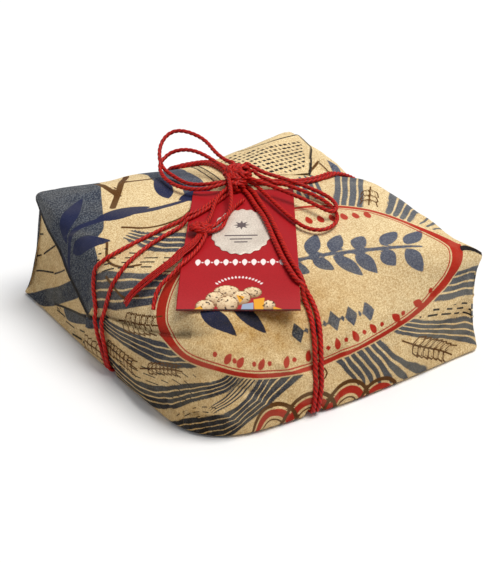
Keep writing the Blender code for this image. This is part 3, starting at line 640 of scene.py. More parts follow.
# Closed outlines filled with slate
SLATE_FIELDS = [
    [(-62, 230), (-68, 180), (-73, 141), (-90, 106), (-105, 77), (-114, 62), (-129, 52), (-141, 30),
     (-162, 24), (-186, 28), (-202, 42), (-236, 56), (-258, 90), (-262, 170), (-262, 240), (-160, 250)],
    [(-30, 178), (-27, 132), (-36, 100), (-22, 78), (-30, 52), (-10, 46), (0, 72), (4, 104),
     (11, 134), (18, 178)],
    [(126, 63), (133, 64), (136, 52), (130, 34), (121, 19), (124, 38), (127, 54)],
    [(-200, 44), (-192, 24), (-187, 8), (-192, 4), (-199, 16), (-207, 38)],
]
NAVY_LEAVES = [
    # (foot, tip, width)
    ((-112, 80), (-62, 64), 17), ((-150, 86), (-104, 116), 16), ((-152, 72), (-116, 42), 17),
    ((-184, 68), (-160, 98), 14), ((-42, 66), (-26, 114), 17), ((-36, 58), (4, 60), 14),
    ((-112, -100), (-98, -140), 17), ((-86, -110), (-70, -148), 15),
]
NAVY_STEM = [(-18, 52), (-60, 58), (-104, 76), (-150, 80), (-190, 64)]
NAVY_STEM_WIDTH = 6.5
BROWN_TWIGS = [
    # (line, half its width)
    ([(-88, 88), (-68, 110), (-42, 146)], 3.0),
    ([(-76, 100), (-80, 130)], 2.6),
    ([(-60, 120), (-36, 112)], 2.6),
    ([(-98, 52), (-78, 34), (-50, 30), (-30, 40)], 1.4),
    ([(-122, 42), (-134, 20), (-130, 2), (-118, -8)], 1.3),
    ([(-146, 8), (-150, -18), (-140, -32)], 1.3),
    ([(100, 45), (108, 52), (117, 57)], 1.2),
    ([(119, 56), (123, 40), (119, 24)], 0.6),
]
# Dark pen lines; the fourth and fifth are painted shadow: the right corner pocket's slit and the slit
# beside the back ear's free edge
DARK_RULES_AND_SLIT_SHADOWS = [
    ([(8, 60), (13, 96), (22, 134), (30, 170)], 0.75),
    ([(14, 58), (19, 95), (28, 133), (36, 169)], 0.75),
    ([(73, 125), (88, 122), (104, 119), (126, 125), (145, 133)], 0.8),
    ([(139, -142), (147, -144), (154, -147)], 2.3),
    ([(138.6, 97), (117.8, 69), (104.6, 49.8), (92, 34.4)], 0.9),
    ([(-195, 30), (-190, 18), (-184, 4)], 1.1),
]

# The panel's inside: a leafy branch, a row of lozenges, beads along its border and a sprig
BRANCH_STEM = [(-92, -104), (-40, -90), (30, -94), (104, -127)]
BRANCH_LEAVES = 9
BRANCH_LEAF = (37, 14.5)
BRANCH_STEM_WIDTH = 4.5
BRANCH_LEAN = 52
BRANCH_GAP = 3.5
LOZENGE_ROW = [(-42, -156), (32, -158)]
LOZENGE_COUNT = 9
LOZENGE_SIZES = (9.5, 3.4)
BEAD_INSET = 14
BEAD_TURNS = (-150, -44)
BEAD_COUNT = 22
BEAD_RADIUS = 2.4
BEAD_LEAF = (12, 6.6)
RED_SPRIG = [(40, -40), (90, -60)]
SPRIG_LEAF_WIDTH = 6.4

# Pen drawings of wheat, and fields of short dashes
WHEAT_EARS = [
    # (foot, tip, grains on each side, half width)
    ((-205, 8), (-196, -58), 8, 6.5), ((-192, -66), (-164, -124), 8, 5),
    ((66, -197), (122, -238), 7, 8.5), ((128, -14), (106, -42), 3, 8),
    ((-224, 60), (-215, -6), 6, 7), ((-172, -18), (-148, -72), 6, 8.5),
    ((160, 110), (206, 70), 6, 8.5), ((60, 196), (60, 240), 5, 8.5),
]
STALK_HALF_WIDTH = 0.75
GRAIN_HALF_WIDTH = 0.6
DASH_FIELDS = [
    # (outline, direction in degrees, dash length, row height, half thickness as share of a row)
    ([(-127, 38), (-106, 4), (-90, -20), (-78, -38), (-100, -40), (-112, -28), (-128, -4), (-147, 24)],
     -48, 19, 6.6, 0.13),
    ([(90, -182), (122, -190), (152, -198), (150, -212), (112, -197), (84, -186)], -22, 17, 4.4, 0.19),
    ([(-196, 0), (-190, -60), (-176, -110), (-154, -142), (-180, -148), (-204, -110), (-212, -40),
      (-206, 0)], -76, 26, 5.2, 0.08),
    ([(-188, -150), (-148, -182), (-180, -172), (-208, -130)], -42, 18, 4.6, 0.1),
    ([(46, 70), (90, 48), (106, 62), (124, 92), (134, 116), (96, 112), (48, 118)], 8, 5.8, 7.4, 0.23),
]

# Scallops at the front's foot and a ring beside them, as (x, y, radius)
SCALLOPS = [(-84, -236, 27), (-44, -240, 29), (-2, -240, 26), (36, -246, 24)]
SCALLOP_RED = (4, 11)
SCALLOP_INNER = 14.5
SCALLOP_HALF_WIDTH = 1.9
THIN_HALF_WIDTH = 0.8
SMALL_RING = (-27, -198, 5)

# The layer behind the left flap: a line along its hem, plain dashes, slate bands and a painted shadow
# under the flap's edge
HEM_LINE = [(-219, 105), (-212, 81), (-206, 61), (-201, 43), (-193, 24)]
PLAIN_DASHES = [
    ((-223, 100), (-222, 86)), ((-225, 80), (-223, 66)), ((-219, 52), (-216, 38)),
    ((-227, 44), (-224, 31)), ((-229, 64), (-227, 51)), ((-214, 150), (-196, 119)),
    ((-200, 152), (-196, 146)), ((-190, 139), (-170, 119)), ((-194, 114), (-180, 94)),
    ((-178, 152), (-173, 143)),
]
PLAIN_DASH_HALF_WIDTH = 0.75
HEM_HALF_WIDTH = 1.1
EDGE_SHADOW_HALF_WIDTH = 2.0
LOW_BANDS = [
    [(-244, 166), (-236, 150), (-215, 124), (-190, 88), (-176, 66), (-180, 50), (-192, 62), (-212, 92),
     (-232, 124), (-240, 144), (-252, 160)],
    [(-215, 88), (-207, 64), (-199, 44), (-192, 24), (-190, 14), (-197, 14), (-204, 30), (-210, 46),
     (-217, 62), (-222, 80)],
]

# Patches of painted shade on the flat paper, as (x, y, reach along x, reach along y, amount)
# Dark painted shade: a fold's hollow by the tag's foot, two spots low on the front and the right
# corner's slit
SHADED = [(-128, -101, 15, 12, 0.3), (-70, -205, 12, 8, 0.12), (20, -196, 14, 8, 0.12),
          (148, -143, 8, 4, 0.8)]
# Warm painted shade that darkens the lower front, the left side and the lower oval, where the walls turn
# from the light
WALL_SHADE_PATCHES = [
    (-206, -196, 64, 70, 0.6), (-60, -228, 130, 44, 0.45), (-210, -50, 50, 90, 0.5),
    (-205, 120, 60, 90, 0.5), (130, -216, 80, 40, 0.35), (-20, -138, 110, 40, 0.3),
    (-70, -132, 80, 40, 0.5), (-100, 30, 70, 70, 0.14),
]


def curve_between(a, b, c, d, steps):
    """Points of a smooth curve from b to c, where a comes before them and d after."""
    reach = np.linalg.norm(c - b)
    leave = (c - a) * reach / (np.linalg.norm(b - a) + reach)
    arrive = (d - b) * reach / (np.linalg.norm(d - c) + reach)
    t = np.linspace(0, 1, steps, endpoint=False)[:, None]
    return ((2 * t**3 - 3 * t**2 + 1) * b + (t**3 - 2 * t**2 + t) * leave
            + (3 * t**2 - 2 * t**3) * c + (t**3 - t**2) * arrive)


def smooth_loop(points, steps=8):
    """A closed smooth outline through the given points."""
    points = np.array(points, float)
    fours = zip(*(np.roll(points, shift, axis=0) for shift in (1, 0, -1, -2)))
    return np.concatenate([curve_between(*four, steps) for four in fours])


def smooth_line(points, spacing):
    """Points along a smooth flat curve."""
    flat = np.array([(*point, 0.0) for point in points])
    return smooth(flat, spacing)[:, :2]


def leaf(foot, tip, width):
    """A pointed leaf's outline."""
    foot, tip = np.array(foot, float), np.array(tip, float)
    along = tip - foot
    across = np.array([-along[1], along[0]]) / np.linalg.norm(along) * width / 2
    share = np.linspace(0, 1, 13)
    swell = np.sin(math.pi * share**0.8) ** 0.9
    one = foot + along * share[:, None] + across * swell[:, None]
    other = foot + along * share[:, None] - across * swell[:, None]
    return np.concatenate([one, other[-2:0:-1]])


class Print:
    """Inks on the flat paper, as fields that the material turns into crisp shapes."""

    def __init__(self, places):
        self.places = places
        count = len(places)
        self.fills = {ink: np.full(count, -FAR) for ink in ("slate", "navy", "red")}
        self.stripes = np.tile([0.0, -FAR, PLAIN_SHARE], (count, 1))
        self.lines = {ink: np.tile([FAR, FAR, 1.0], (count, 1)) for ink in ("brown", "dark")}
        self.dashes = np.tile([0.0, 0.0, -FAR, 0.1], (count, 1))

    def near(self, points, margin):
        """Indices of the places within a margin of some points."""
        low, high = points.min(0) - margin, points.max(0) + margin
        return np.nonzero(((self.places >= low) & (self.places <= high)).all(1))[0]

    def inside(self, shape):
        """(indices of the places near a closed outline, their distance inside it)"""
        chosen = self.near(shape, PRINT_MARGIN)
        return chosen, distance_inside(self.places[chosen], shape)

    def fill(self, ink, shape):
        chosen, depth = self.inside(shape)
        field = self.fills[ink]
        field[chosen] = np.maximum(field[chosen], depth)

    def stream(self, first, last, bands, share):
        """Wavy bands that flow between two edges and end in points."""
        first, last = smooth_line(first, 4), smooth_line(last, 4)
        chosen, depth = self.inside(np.concatenate([first, last[::-1]]))
        better = depth > self.stripes[chosen, 1]
        chosen, depth = chosen[better], depth[better]
        places = self.places[chosen]
        from_first, from_last = (distance_to_line(places, edge)[1] for edge in (first, last))
        from_ends = np.minimum(*(distance_to_line(places, np.array([first[end], last[end]]))[1]
                                 for end in (0, -1)))
        x, y = places.T
        across = from_first / np.maximum(from_first + from_last, 1e-6)
        wave = np.sin(x / 8.3 + y / 13.1) + 0.6 * np.sin(x / 4.1 - y / 5.7)
        self.stripes[chosen, 0] = bands * across + 0.5 + STREAM_WAVER * wave
        self.stripes[chosen, 1] = depth
        swell = 1 + STREAM_SWELL * np.sin(x / 15 - y / 11 + 9 * np.floor(bands * across))
        self.stripes[chosen, 2] = share * swell * (0.5 + 0.5 * eased_step(from_ends, 0, STREAM_END))

    def dash(self, shape, direction, length, row_height, half_thickness):
        """Rows of short marks: their cell along the row, the row, and the distance inside."""
        chosen, depth = self.inside(shape)
        turn = math.radians(direction)
        x, y = self.places[chosen].T
        along = (x * math.cos(turn) + y * math.sin(turn)) / length
        across = (y * math.cos(turn) - x * math.sin(turn)) / row_height
        better = depth > self.dashes[chosen, 2]
        thickness = np.full(len(chosen), half_thickness)
        self.dashes[chosen[better]] = np.stack([along, across, depth, thickness], 1)[better]

    def stroke(self, ink, path, half_width):
        """A pen line: signed and plain distance to it, with its half width."""
        chosen = self.near(path, half_width + LINE_MARGIN)
        signed, plain = distance_to_line(self.places[chosen], path)
        field = self.lines[ink]
        nearer = plain - half_width < field[chosen, 1] - field[chosen, 2]
        field[chosen[nearer]] = np.stack([signed[nearer], plain[nearer],
                                          np.full(nearer.sum(), half_width)], 1)


def distance_inside(places, shape):
    """Distance to a closed outline, positive inside it."""
    nearest = np.full(len(places), 1e9)
    crossings = np.zeros(len(places), int)
    for start, end in zip(shape, np.roll(shape, -1, axis=0)):
        along = end - start
        offset = places - start
        share = np.clip(offset @ along / max(along @ along, 1e-12), 0, 1)
        nearest = np.minimum(nearest, ((offset - share[:, None] * along) ** 2).sum(1))
        spans = (start[1] > places[:, 1]) != (end[1] > places[:, 1])
        if spans.any():
            x = start[0] + along[0] * (places[:, 1] - start[1]) / (along[1] if along[1] else 1e-12)
            crossings += spans & (places[:, 0] < x)
    return np.where(crossings % 2 == 1, 1, -1) * np.sqrt(nearest)


def distance_to_line(places, path):
    """(signed, plain) distances to an open line."""
    plain = np.full(len(places), 1e9)
    signed = np.full(len(places), 1e9)
    for start, end in zip(path[:-1], path[1:]):
        along = end - start
        length = math.hypot(*along)
        offset = places - start
        share = np.clip(offset @ along / length**2, 0, 1)
        distance = np.linalg.norm(offset - share[:, None] * along, axis=1)
        side = (offset[:, 1] * along[0] - offset[:, 0] * along[1]) / length
        nearer = distance < plain
        plain[nearer] = distance[nearer]
        signed[nearer] = side[nearer]
    return signed, plain


def printed(places):
    """(the whole print at some places of the flat paper, distance inside the panel's thin line)"""
    work = Print(places)
    oval = smooth_loop(OVAL)
    inside_oval = distance_inside(places, oval)
    x, y = places.T
    around = np.arctan2(y - OVAL_MIDDLE[1], (x - OVAL_MIDDLE[0]) * OVAL_FLATNESS)
    for edges_and_style in STREAMS:
        work.stream(*edges_and_style)
    for shape in SLATE_FIELDS:
        work.fill("slate", smooth_loop(shape))
    for foot, tip, width in NAVY_LEAVES:
        work.fill("navy", leaf(foot, tip, width))
    work.fill("navy", ribbon(NAVY_STEM, NAVY_STEM_WIDTH))
    for line, half_width in BROWN_TWIGS:
        work.stroke("brown", smooth_line(line, 4), half_width)
    for line, half_width in DARK_RULES_AND_SLIT_SHADOWS:
        work.stroke("dark", smooth_line(line, 6), half_width)
    branch(work)
    lozenges(work)
    beads(work, oval)
    for foot, tip, grains, half_width in WHEAT_EARS:
        wheat_ear(work, np.array(foot, float), np.array(tip, float), grains, half_width)
    for shape, *style in DASH_FIELDS:
        work.dash(smooth_loop(shape), *style)
    scallops(work)
    below_the_flap(work)
    swell = BORDER_SWELL * np.abs(np.cos(around + SWELL_TURN)) ** SWELL_POWER
    half_border = (BORDER_WIDTH + swell) / 2
    border = half_border - np.abs(inside_oval - half_border)
    work.fills["red"] = np.maximum(work.fills["red"], border)
    work.stripes[:, 1] = np.minimum(work.stripes[:, 1], -inside_oval - OUTSIDE_BORDER)
    return work, inside_oval - INNER_LINE[0] - swell


def ribbon(path, width):
    """The outline of a band along a smooth line, narrow at its ends."""
    line = smooth_line(path, 6)
    share = np.linspace(0, 1, len(line))
    half = (width / 2 * np.sin(math.pi * (0.06 + 0.88 * share)) ** 0.5)[:, None]
    across = -to_the_right(line)
    return np.concatenate([line + across * half, (line - across * half)[::-1]])


def to_the_right(line):
    """Unit vectors across a flat line, to its right."""
    ahead = np.gradient(line, axis=0)
    return np.stack([ahead[:, 1], -ahead[:, 0]], 1) / np.linalg.norm(ahead, axis=1)[:, None]


def pointing(angle):
    """Unit vectors at some angles in the plane."""
    return np.stack([np.cos(angle), np.sin(angle)], -1)


def branch(work):
    """A bold leafy branch across the oval."""
    stem = smooth_line(BRANCH_STEM, 3)
    work.fill("slate", ribbon(BRANCH_STEM, BRANCH_STEM_WIDTH))
    length, width = BRANCH_LEAF
    for number in range(BRANCH_LEAVES):
        place = int((0.06 + 0.88 * number / (BRANCH_LEAVES - 1)) * (len(stem) - 2))
        foot = stem[place]
        ahead = stem[place + 1] - foot
        heading = math.atan2(ahead[1], ahead[0])
        for side in (1, -1):
            lean = pointing(heading + side * math.radians(BRANCH_LEAN))
            size = length * (0.8 + 0.2 * math.sin(1.7 * number + side))
            work.fill("slate", leaf(foot + BRANCH_GAP * lean, foot + size * lean, width))


def lozenges(work):
    """A row of plain shapes under the branch."""
    start, end = np.array(LOZENGE_ROW, float)
    for number in range(LOZENGE_COUNT):
        middle = start + (end - start) * number / (LOZENGE_COUNT - 1)
        size = LOZENGE_SIZES[number % 2]
        work.fill("slate", middle + size * np.array([(0.7, 0), (0, 1), (-0.7, 0), (0, -1)]))


def beads(work, oval):
    """Red beads and small leaves along the panel's lower border, and a sprig near its top."""
    offsets = oval - np.array(OVAL_MIDDLE, float)
    angles = np.arctan2(offsets[:, 1], offsets[:, 0] * OVAL_FLATNESS)
    for turn in np.radians(np.linspace(*BEAD_TURNS, BEAD_COUNT)):
        nearest = np.argmin(np.abs(angles - turn))
        inward = -offsets[nearest] / np.linalg.norm(offsets[nearest])
        place = oval[nearest] + inward * BEAD_INSET
        if round(math.degrees(turn)) % 2:
            reach = inward * BEAD_LEAF[0] / 2
            work.fill("red", leaf(place - reach, place + reach, BEAD_LEAF[1]))
        else:
            work.fill("red", place + BEAD_RADIUS * circle(10))
    start, end = np.array(RED_SPRIG, float)
    for share in np.linspace(0, 1, 6):
        place = start + (end - start) * share
        work.fill("red", leaf(place - (1, 7), place + (3, 7), SPRIG_LEAF_WIDTH))


def circle(count):
    """Corners of an even outline of radius 1."""
    return pointing(np.arange(count) / count * 2 * math.pi)


def wheat_ear(work, foot, tip, grains, half_width):
    """A pen drawing of an ear of wheat: a stalk with open grains on both sides."""
    along = tip - foot
    length = math.hypot(*along)
    ahead = along / length
    across = np.array([-ahead[1], ahead[0]])
    work.stroke("brown", np.array([foot, tip]), STALK_HALF_WIDTH)
    for number in range(grains):
        start = foot + ahead * length * (0.16 + 0.8 * number / grains)
        for side in (1, -1):
            middle = start + ahead * 0.6 * half_width + across * side * 0.82 * half_width
            end = start + ahead * 1.5 * half_width + across * side * half_width
            work.stroke("brown", np.array([start, middle, end]), GRAIN_HALF_WIDTH)


def scallops(work):
    """Overlapping scallops along the front's foot, outlined in brown with red arcs."""
    arc = pointing(np.radians(np.linspace(0, 180, 25)))
    for x, y, radius in SCALLOPS:
        middle = np.array([x, y], float)
        outer, inner = (middle + arc * (radius - inset) for inset in SCALLOP_RED)
        work.stroke("brown", middle + arc * radius, SCALLOP_HALF_WIDTH)
        work.fill("red", np.concatenate([outer, inner[::-1]]))
        work.stroke("brown", middle + arc * (radius - SCALLOP_INNER), THIN_HALF_WIDTH)
    x, y, radius = SMALL_RING
    work.stroke("brown", np.array([x, y]) + radius * circle(14), THIN_HALF_WIDTH)


def below_the_flap(work):
    """The layer behind the left flap: a few plain dashes over a slate band at its foot, and painted
    shadow under the flap's edge.
    """
    shift = np.array(BELOW_FLAP, float)
    for start, end in PLAIN_DASHES:
        work.stroke("dark", np.array([start, end]) + shift, PLAIN_DASH_HALF_WIDTH)
    work.stroke("dark", smooth_line(HEM_LINE, 6) + shift, HEM_HALF_WIDTH)
    for band in LOW_BANDS:
        work.fill("slate", smooth_loop(np.array(band) + shift))
    s = np.linspace(3.0, 3.4, 40)
    edge = flat_places(s, row_where(s, FLAP_EDGE)[None], np.full(len(s), LEFT_SIDE))[0]
    # Painted shadow: a dark line just below the flap's free edge
    work.stroke("dark", edge + shift - (1.0, 0), EDGE_SHADOW_HALF_WIDTH)


# Materials

def paint(red, green, blue):
    """A colour from its values out of 255 on a screen."""
    screen = np.array([red, green, blue]) / 255
    linear = np.where(screen <= 0.04045, screen / 12.92, ((screen + 0.055) / 1.055) ** 2.4)
    return (*[float(value) for value in linear], 1.0)


class Look:
    """A material under construction: short ways to add and join its nodes."""

    def __init__(self, name):
        self.material = bpy.data.materials.new(name)
        self.material.use_nodes = True
        self.tree = self.material.node_tree
        self.shader = self.tree.nodes["Principled BSDF"]

    def node(self, kind, **settings):
        made = self.tree.nodes.new(kind)
        for name, value in settings.items():
            setattr(made, name, value)
        return made

    def feed(self, socket, value):
        if isinstance(value, bpy.types.NodeSocket):
            self.tree.links.new(value, socket)
        else:
            socket.default_value = value

    def attribute(self, name):
        made = self.node("ShaderNodeAttribute", attribute_type="GEOMETRY")
        made.attribute_name = name
        return made.outputs["Vector"]

    def parts(self, vector):
        made = self.node("ShaderNodeSeparateXYZ")
        self.feed(made.inputs[0], vector)
        return made.outputs

    def field(self, name):
        """The three values of a field that the mesh carries."""
        return self.parts(self.attribute(name))

    def sum(self, operation, first, second=0.0, clamp=False):
        made = self.node("ShaderNodeMath", operation=operation, use_clamp=clamp)
        self.feed(made.inputs[0], first)
        self.feed(made.inputs[1], second)
        return made.outputs[0]

    def plus(self, first, second):
        return self.sum("ADD", first, second)

    def minus(self, first, second):
        return self.sum("SUBTRACT", first, second)

    def times(self, first, second, clamp=False):
        return self.sum("MULTIPLY", first, second, clamp)

    def least(self, first, second):
        return self.sum("MINIMUM", first, second)

    def size(self, value):
        return self.sum("ABSOLUTE", value)

    def noise(self, place, scale, detail, roughness):
        made = self.node("ShaderNodeTexNoise")
        self.feed(made.inputs["Vector"], place)
        made.inputs["Scale"].default_value = scale
        made.inputs["Detail"].default_value = detail
        made.inputs["Roughness"].default_value = roughness
        return made.outputs["Fac"]

    def stretch(self, value, low, high, new_low=0.0, new_high=1.0):
        made = self.node("ShaderNodeMapRange")
        for socket, given in zip(made.inputs[:5], (value, low, high, new_low, new_high)):
            self.feed(socket, given)
        return made.outputs[0]

    def mixed(self, share, first, second, blend="MIX"):
        made = self.node("ShaderNodeMix", data_type="RGBA", blend_type=blend)
        self.feed(made.inputs["Factor"], share)
        self.feed(made.inputs[6], first)
        self.feed(made.inputs[7], second)
        return made.outputs[2]

    def edge(self, depth, feather):
        """1 where a distance is positive and 0 where it is negative, with a soft edge."""
        return self.stretch(depth, -feather / 2, feather / 2)

    def bump(self, height, strength, distance, normal=None):
        made = self.node("ShaderNodeBump")
        made.inputs["Strength"].default_value = strength
        made.inputs["Distance"].default_value = distance
        self.feed(made.inputs["Height"], height)
        if normal is not None:
            self.feed(made.inputs["Normal"], normal)
        return made.outputs["Normal"]

    def finished(self, colour, roughness, normal, specular=0.5):
        """The material, once its colour, roughness and bump are joined to its shader."""
        self.feed(self.shader.inputs["Base Color"], colour)
        self.feed(self.shader.inputs["Roughness"], roughness)
        self.feed(self.shader.inputs["Normal"], normal)
        self.shader.inputs["Specular IOR Level"].default_value = specular
        return self.material


KRAFT = paint(245, 217, 160)
KRAFT_DARK = paint(150, 107, 57)
KRAFT_LIGHT = paint(255, 241, 200)
SLATE = paint(62, 66, 78)
SLATE_LIGHT = paint(118, 119, 122)
BLUE_SLATE = paint(40, 49, 66)
BLUE_SLATE_LIGHT = paint(104, 110, 118)
NAVY = paint(38, 44, 76)
BORDER_RED = paint(176, 42, 26)
BROWN_INK = paint(92, 58, 22)
DARK_INK = paint(34, 30, 34)
FOLD_SHADE = paint(26, 20, 14)
WALL_SHADE_TINT = paint(190, 158, 92)
SLATE_IN_SHADE = paint(34, 34, 38)
SLATE_PALE = paint(114, 117, 118)
BLUE_SLATE_PALE = paint(118, 121, 138)
WHITE_PRINT = paint(240, 226, 222)
AMBER = paint(226, 158, 34)
GREY_CLOTH = paint(150, 164, 186)
FRUIT = paint(46, 24, 16)
CORD_DULL = paint(154, 8, 8)
CORD_BRIGHT = paint(222, 40, 24)
CORD_DEEP = paint(120, 4, 8)
CORD_HOLLOW_SHADE = paint(52, 2, 4)
CRUST_BROWN = paint(120, 74, 38)
CRUST_PALE = paint(240, 214, 172)
CRUST_SPOT = paint(150, 104, 62)
CARD_DULL = paint(160, 14, 22)
CARD_BRIGHT = paint(176, 22, 30)
CARD_DEEP = paint(136, 10, 18)
SILVER_DULL = paint(204, 192, 178)
SILVER_BRIGHT = paint(238, 226, 210)
SILVER_DEEP = paint(176, 160, 144)
SEAL_INK = paint(96, 84, 84)
STRIPE_PERIOD = 7.0
LINE_END = 1.4
DASH_ROW = 7.0
DASH_LENGTH = 16.0
DASH_REACH = (0.16, 0.26)
# Factors that give each dash a length of its own, from its cell and its row
DASH_FACTORS = (12.9, 7.31, 3.77, 43.7)

# Noises of the kraft paper, as (scale, detail, roughness)
GRAIN = (0.75, 3.0, 0.7)
FIBRE = (2.1, 2.0, 0.6)
CLOUD = (0.018, 2.0, 0.5)
PATCHES = (0.09, 3.0, 0.6)
SOFT_CREASES = (0.05, 4.0, 0.62)


def kraft_look():
    """Printed kraft paper, worn and crumpled, with painted shade from the mesh's fields."""
    look = Look("kraft_paper")
    place = look.attribute("sheet")
    along, _, face = look.parts(place)
    grain, fibre, cloud = (look.noise(place, *noise) for noise in (GRAIN, FIBRE, CLOUD))
    bare = look.mixed(look.stretch(grain, 0.36, 0.64), KRAFT_DARK, KRAFT_LIGHT)
    bare = look.mixed(look.stretch(fibre, 0.3, 0.7, 0.6, 0.2), bare, KRAFT)
    bare = look.mixed(look.stretch(cloud, 0.35, 0.65, 0.0, 0.16), bare, KRAFT_DARK)

    rough_edge = look.stretch(grain, 0.3, 0.7, -0.4, 0.4)
    wear = look.stretch(fibre, 0.60, 0.74, 1.0, 0.65)

    def ink(tint, depth, over, feather=0.6, strength=wear):
        share = look.edge(look.plus(depth, rough_edge), feather)
        return look.mixed(look.times(look.times(share, strength), face), over, tint)

    # Painted shade of the walls, broken up by noise; it darkens the slate as well
    patchy = look.stretch(look.noise(place, *PATCHES), 0.3, 0.7, 0.7, 1.3)
    wall_shade_share = look.times(look.field("wall_shade")[0], patchy, clamp=True)
    faded = look.stretch(along, -70, 60, 0.0, 0.36)
    grey_slate = look.mixed(look.stretch(grain, 0.46, 0.66), SLATE, SLATE_LIGHT)
    grey_slate = look.mixed(look.times(wall_shade_share, 1.3, clamp=True), grey_slate, SLATE_IN_SHADE)
    grey_slate = look.mixed(faded, grey_slate, SLATE_PALE)
    blue_slate = look.mixed(look.stretch(grain, 0.45, 0.62), BLUE_SLATE, BLUE_SLATE_LIGHT)
    blue_slate = look.mixed(faded, blue_slate, BLUE_SLATE_PALE)

    phase, field, share = look.field("stripes")
    band = look.minus(look.times(share, 0.5), look.sum("PINGPONG", phase, 0.5))
    band = look.least(look.times(band, STRIPE_PERIOD), field)
    slate, navy, red = look.field("fills")
    inner, thickness, shade = look.field("more_fills")
    colour = ink(grey_slate, band, bare)
    colour = ink(blue_slate, slate, colour)
    colour = ink(NAVY, navy, colour)
    colour = ink(BORDER_RED, red, colour, strength=look.stretch(fibre, 0.6, 0.75, 1.0, 0.8))
    colour = ink(BORDER_RED, look.minus(INNER_LINE[1], look.size(inner)), colour)
    for name, tint in (("brown_lines", BROWN_INK), ("dark_lines", DARK_INK)):
        signed, plain, half = look.field(name)
        depth = look.minus(half, look.size(signed))
        ends = look.minus(look.plus(half, LINE_END), plain)
        colour = ink(tint, look.least(depth, ends), colour, 0.5)
    colour = ink(DARK_INK, dashes_depth(look, thickness), colour, 0.5)
    # The walls' painted shade, multiplied into the paper's colour
    colour = look.mixed(wall_shade_share, colour, WALL_SHADE_TINT, "MULTIPLY")
    # Painted shade from the shade field, and lighter wear where it is negative
    colour = look.mixed(look.sum("MAXIMUM", shade, 0.0), colour, FOLD_SHADE)
    colour = look.mixed(look.times(look.least(shade, 0.0), -1.0), colour, KRAFT_LIGHT)

    normal = look.bump(look.noise(place, *SOFT_CREASES), 0.5, 0.005)
    normal = look.bump(fibre, 0.25, 0.0005, normal)
    return look.finished(colour, look.stretch(grain, 0.3, 0.7, 0.62, 0.82), normal, 0.1)


def dashes_depth(look, thickness):
    """Distance inside the nearest dash of the rows of short marks, each of its own length."""
    along, across, field = look.field("dashes")
    row = look.sum("FLOOR", across)
    for_shift, for_cell, for_row, for_length = DASH_FACTORS
    shifted = look.plus(along, look.sum("SINE", look.times(row, for_shift)))
    cell = look.sum("FLOOR", shifted)
    mixed_up = look.plus(look.times(cell, for_cell), look.times(row, for_row))
    random = look.sum("FRACT", look.times(look.sum("SINE", mixed_up), for_length))
    from_row, from_middle = (look.size(look.minus(look.sum("FRACT", part), 0.5))
                             for part in (across, shifted))
    depth = look.times(look.minus(thickness, from_row), DASH_ROW)
    reach = look.plus(look.times(random, DASH_REACH[1]), DASH_REACH[0])
    length = look.times(look.minus(reach, from_middle), DASH_LENGTH)
    return look.least(look.least(depth, length), field)


def cord_look():
    """Red cord, with painted shade between its strands."""
    look = Look("red_cord")
    lay = look.attribute("lay")
    depth = look.parts(lay)[2]
    fine = look.noise(look.attribute("lay_fine"), 1.0, 3.0, 0.6)
    cloud = look.noise(lay, 0.12, 2.0, 0.5)
    red = look.mixed(look.stretch(fine, 0.35, 0.65), CORD_DULL, CORD_BRIGHT)
    red = look.mixed(look.stretch(cloud, 0.35, 0.65, 0.0, 0.25), red, CORD_DEEP)
    # Painted shade in the hollows between the strands
    red = look.mixed(look.stretch(depth, 0.66, 0.94, 0.85, 0.0), red, CORD_HOLLOW_SHADE)
    return look.finished(red, look.stretch(fine, 0.3, 0.7, 0.4, 0.6), look.bump(fine, 0.6, 0.0005), 0.22)


def card_look():
    """Red card with the tag's print."""
    look = Look("red_card")
    place = look.attribute("sheet")
    face = look.parts(place)[2]
    grain = look.noise(place, 0.9, 3.0, 0.6)
    cloud = look.noise(place, 0.03, 2.0, 0.5)
    crumb = look.noise(place, 0.45, 3.0, 0.7)
    white, roll, height = look.field("card_fills")
    dark, amber, grey = look.field("card_more")
    crust = look.mixed(look.stretch(height, 0.0, 0.9), CRUST_BROWN, CRUST_PALE)
    crust = look.mixed(look.stretch(crumb, 0.5, 0.62, 0.0, 0.5), crust, CRUST_SPOT)
    colour = look.mixed(look.stretch(grain, 0.35, 0.65), CARD_DULL, CARD_BRIGHT)
    colour = look.mixed(look.stretch(cloud, 0.3, 0.7, 0.0, 0.25), colour, CARD_DEEP)
    for tint, depth in ((WHITE_PRINT, white), (crust, roll), (AMBER, amber), (GREY_CLOTH, grey),
                        (FRUIT, dark)):
        colour = look.mixed(look.times(look.edge(depth, 0.5), face), colour, tint)
    roughness = look.stretch(grain, 0.3, 0.7, 0.42, 0.52)
    return look.finished(colour, roughness, look.bump(grain, 0.08, 0.0004), 0.25)


def seal_look():
    """Dull silver with dark marks."""
    look = Look("silver_seal")
    place = look.attribute("sheet")
    grain = look.noise(place, 0.8, 3.0, 0.6)
    cloud = look.noise(place, 0.05, 2.0, 0.5)
    colour = look.mixed(look.stretch(grain, 0.35, 0.65), SILVER_DULL, SILVER_BRIGHT)
    colour = look.mixed(look.stretch(cloud, 0.35, 0.65, 0.0, 0.35), colour, SILVER_DEEP)
    colour = look.mixed(look.edge(look.field("seal_fills")[0], 0.5), colour, SEAL_INK)
    look.shader.inputs["Metallic"].default_value = 0.1
    return look.finished(colour, look.stretch(grain, 0.3, 0.7, 0.34, 0.5), look.bump(grain, 0.1, 0.0003))


# Meshes

def placed(name, data):
    """A new object in the scene."""
    made = bpy.data.objects.new(name, data)
    bpy.context.scene.collection.objects.link(made)
    return made


def new_object(name, points, faces, material):
    """A smooth mesh piece that rides on the body."""
    mesh = bpy.data.meshes.new(name)
    mesh.from_pydata([tuple(point) for point in in_frame(points)], [], faces)
    mesh.shade_smooth()
    mesh.materials.append(material)
    made = placed(name, mesh)
    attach(made, "root")
    return made


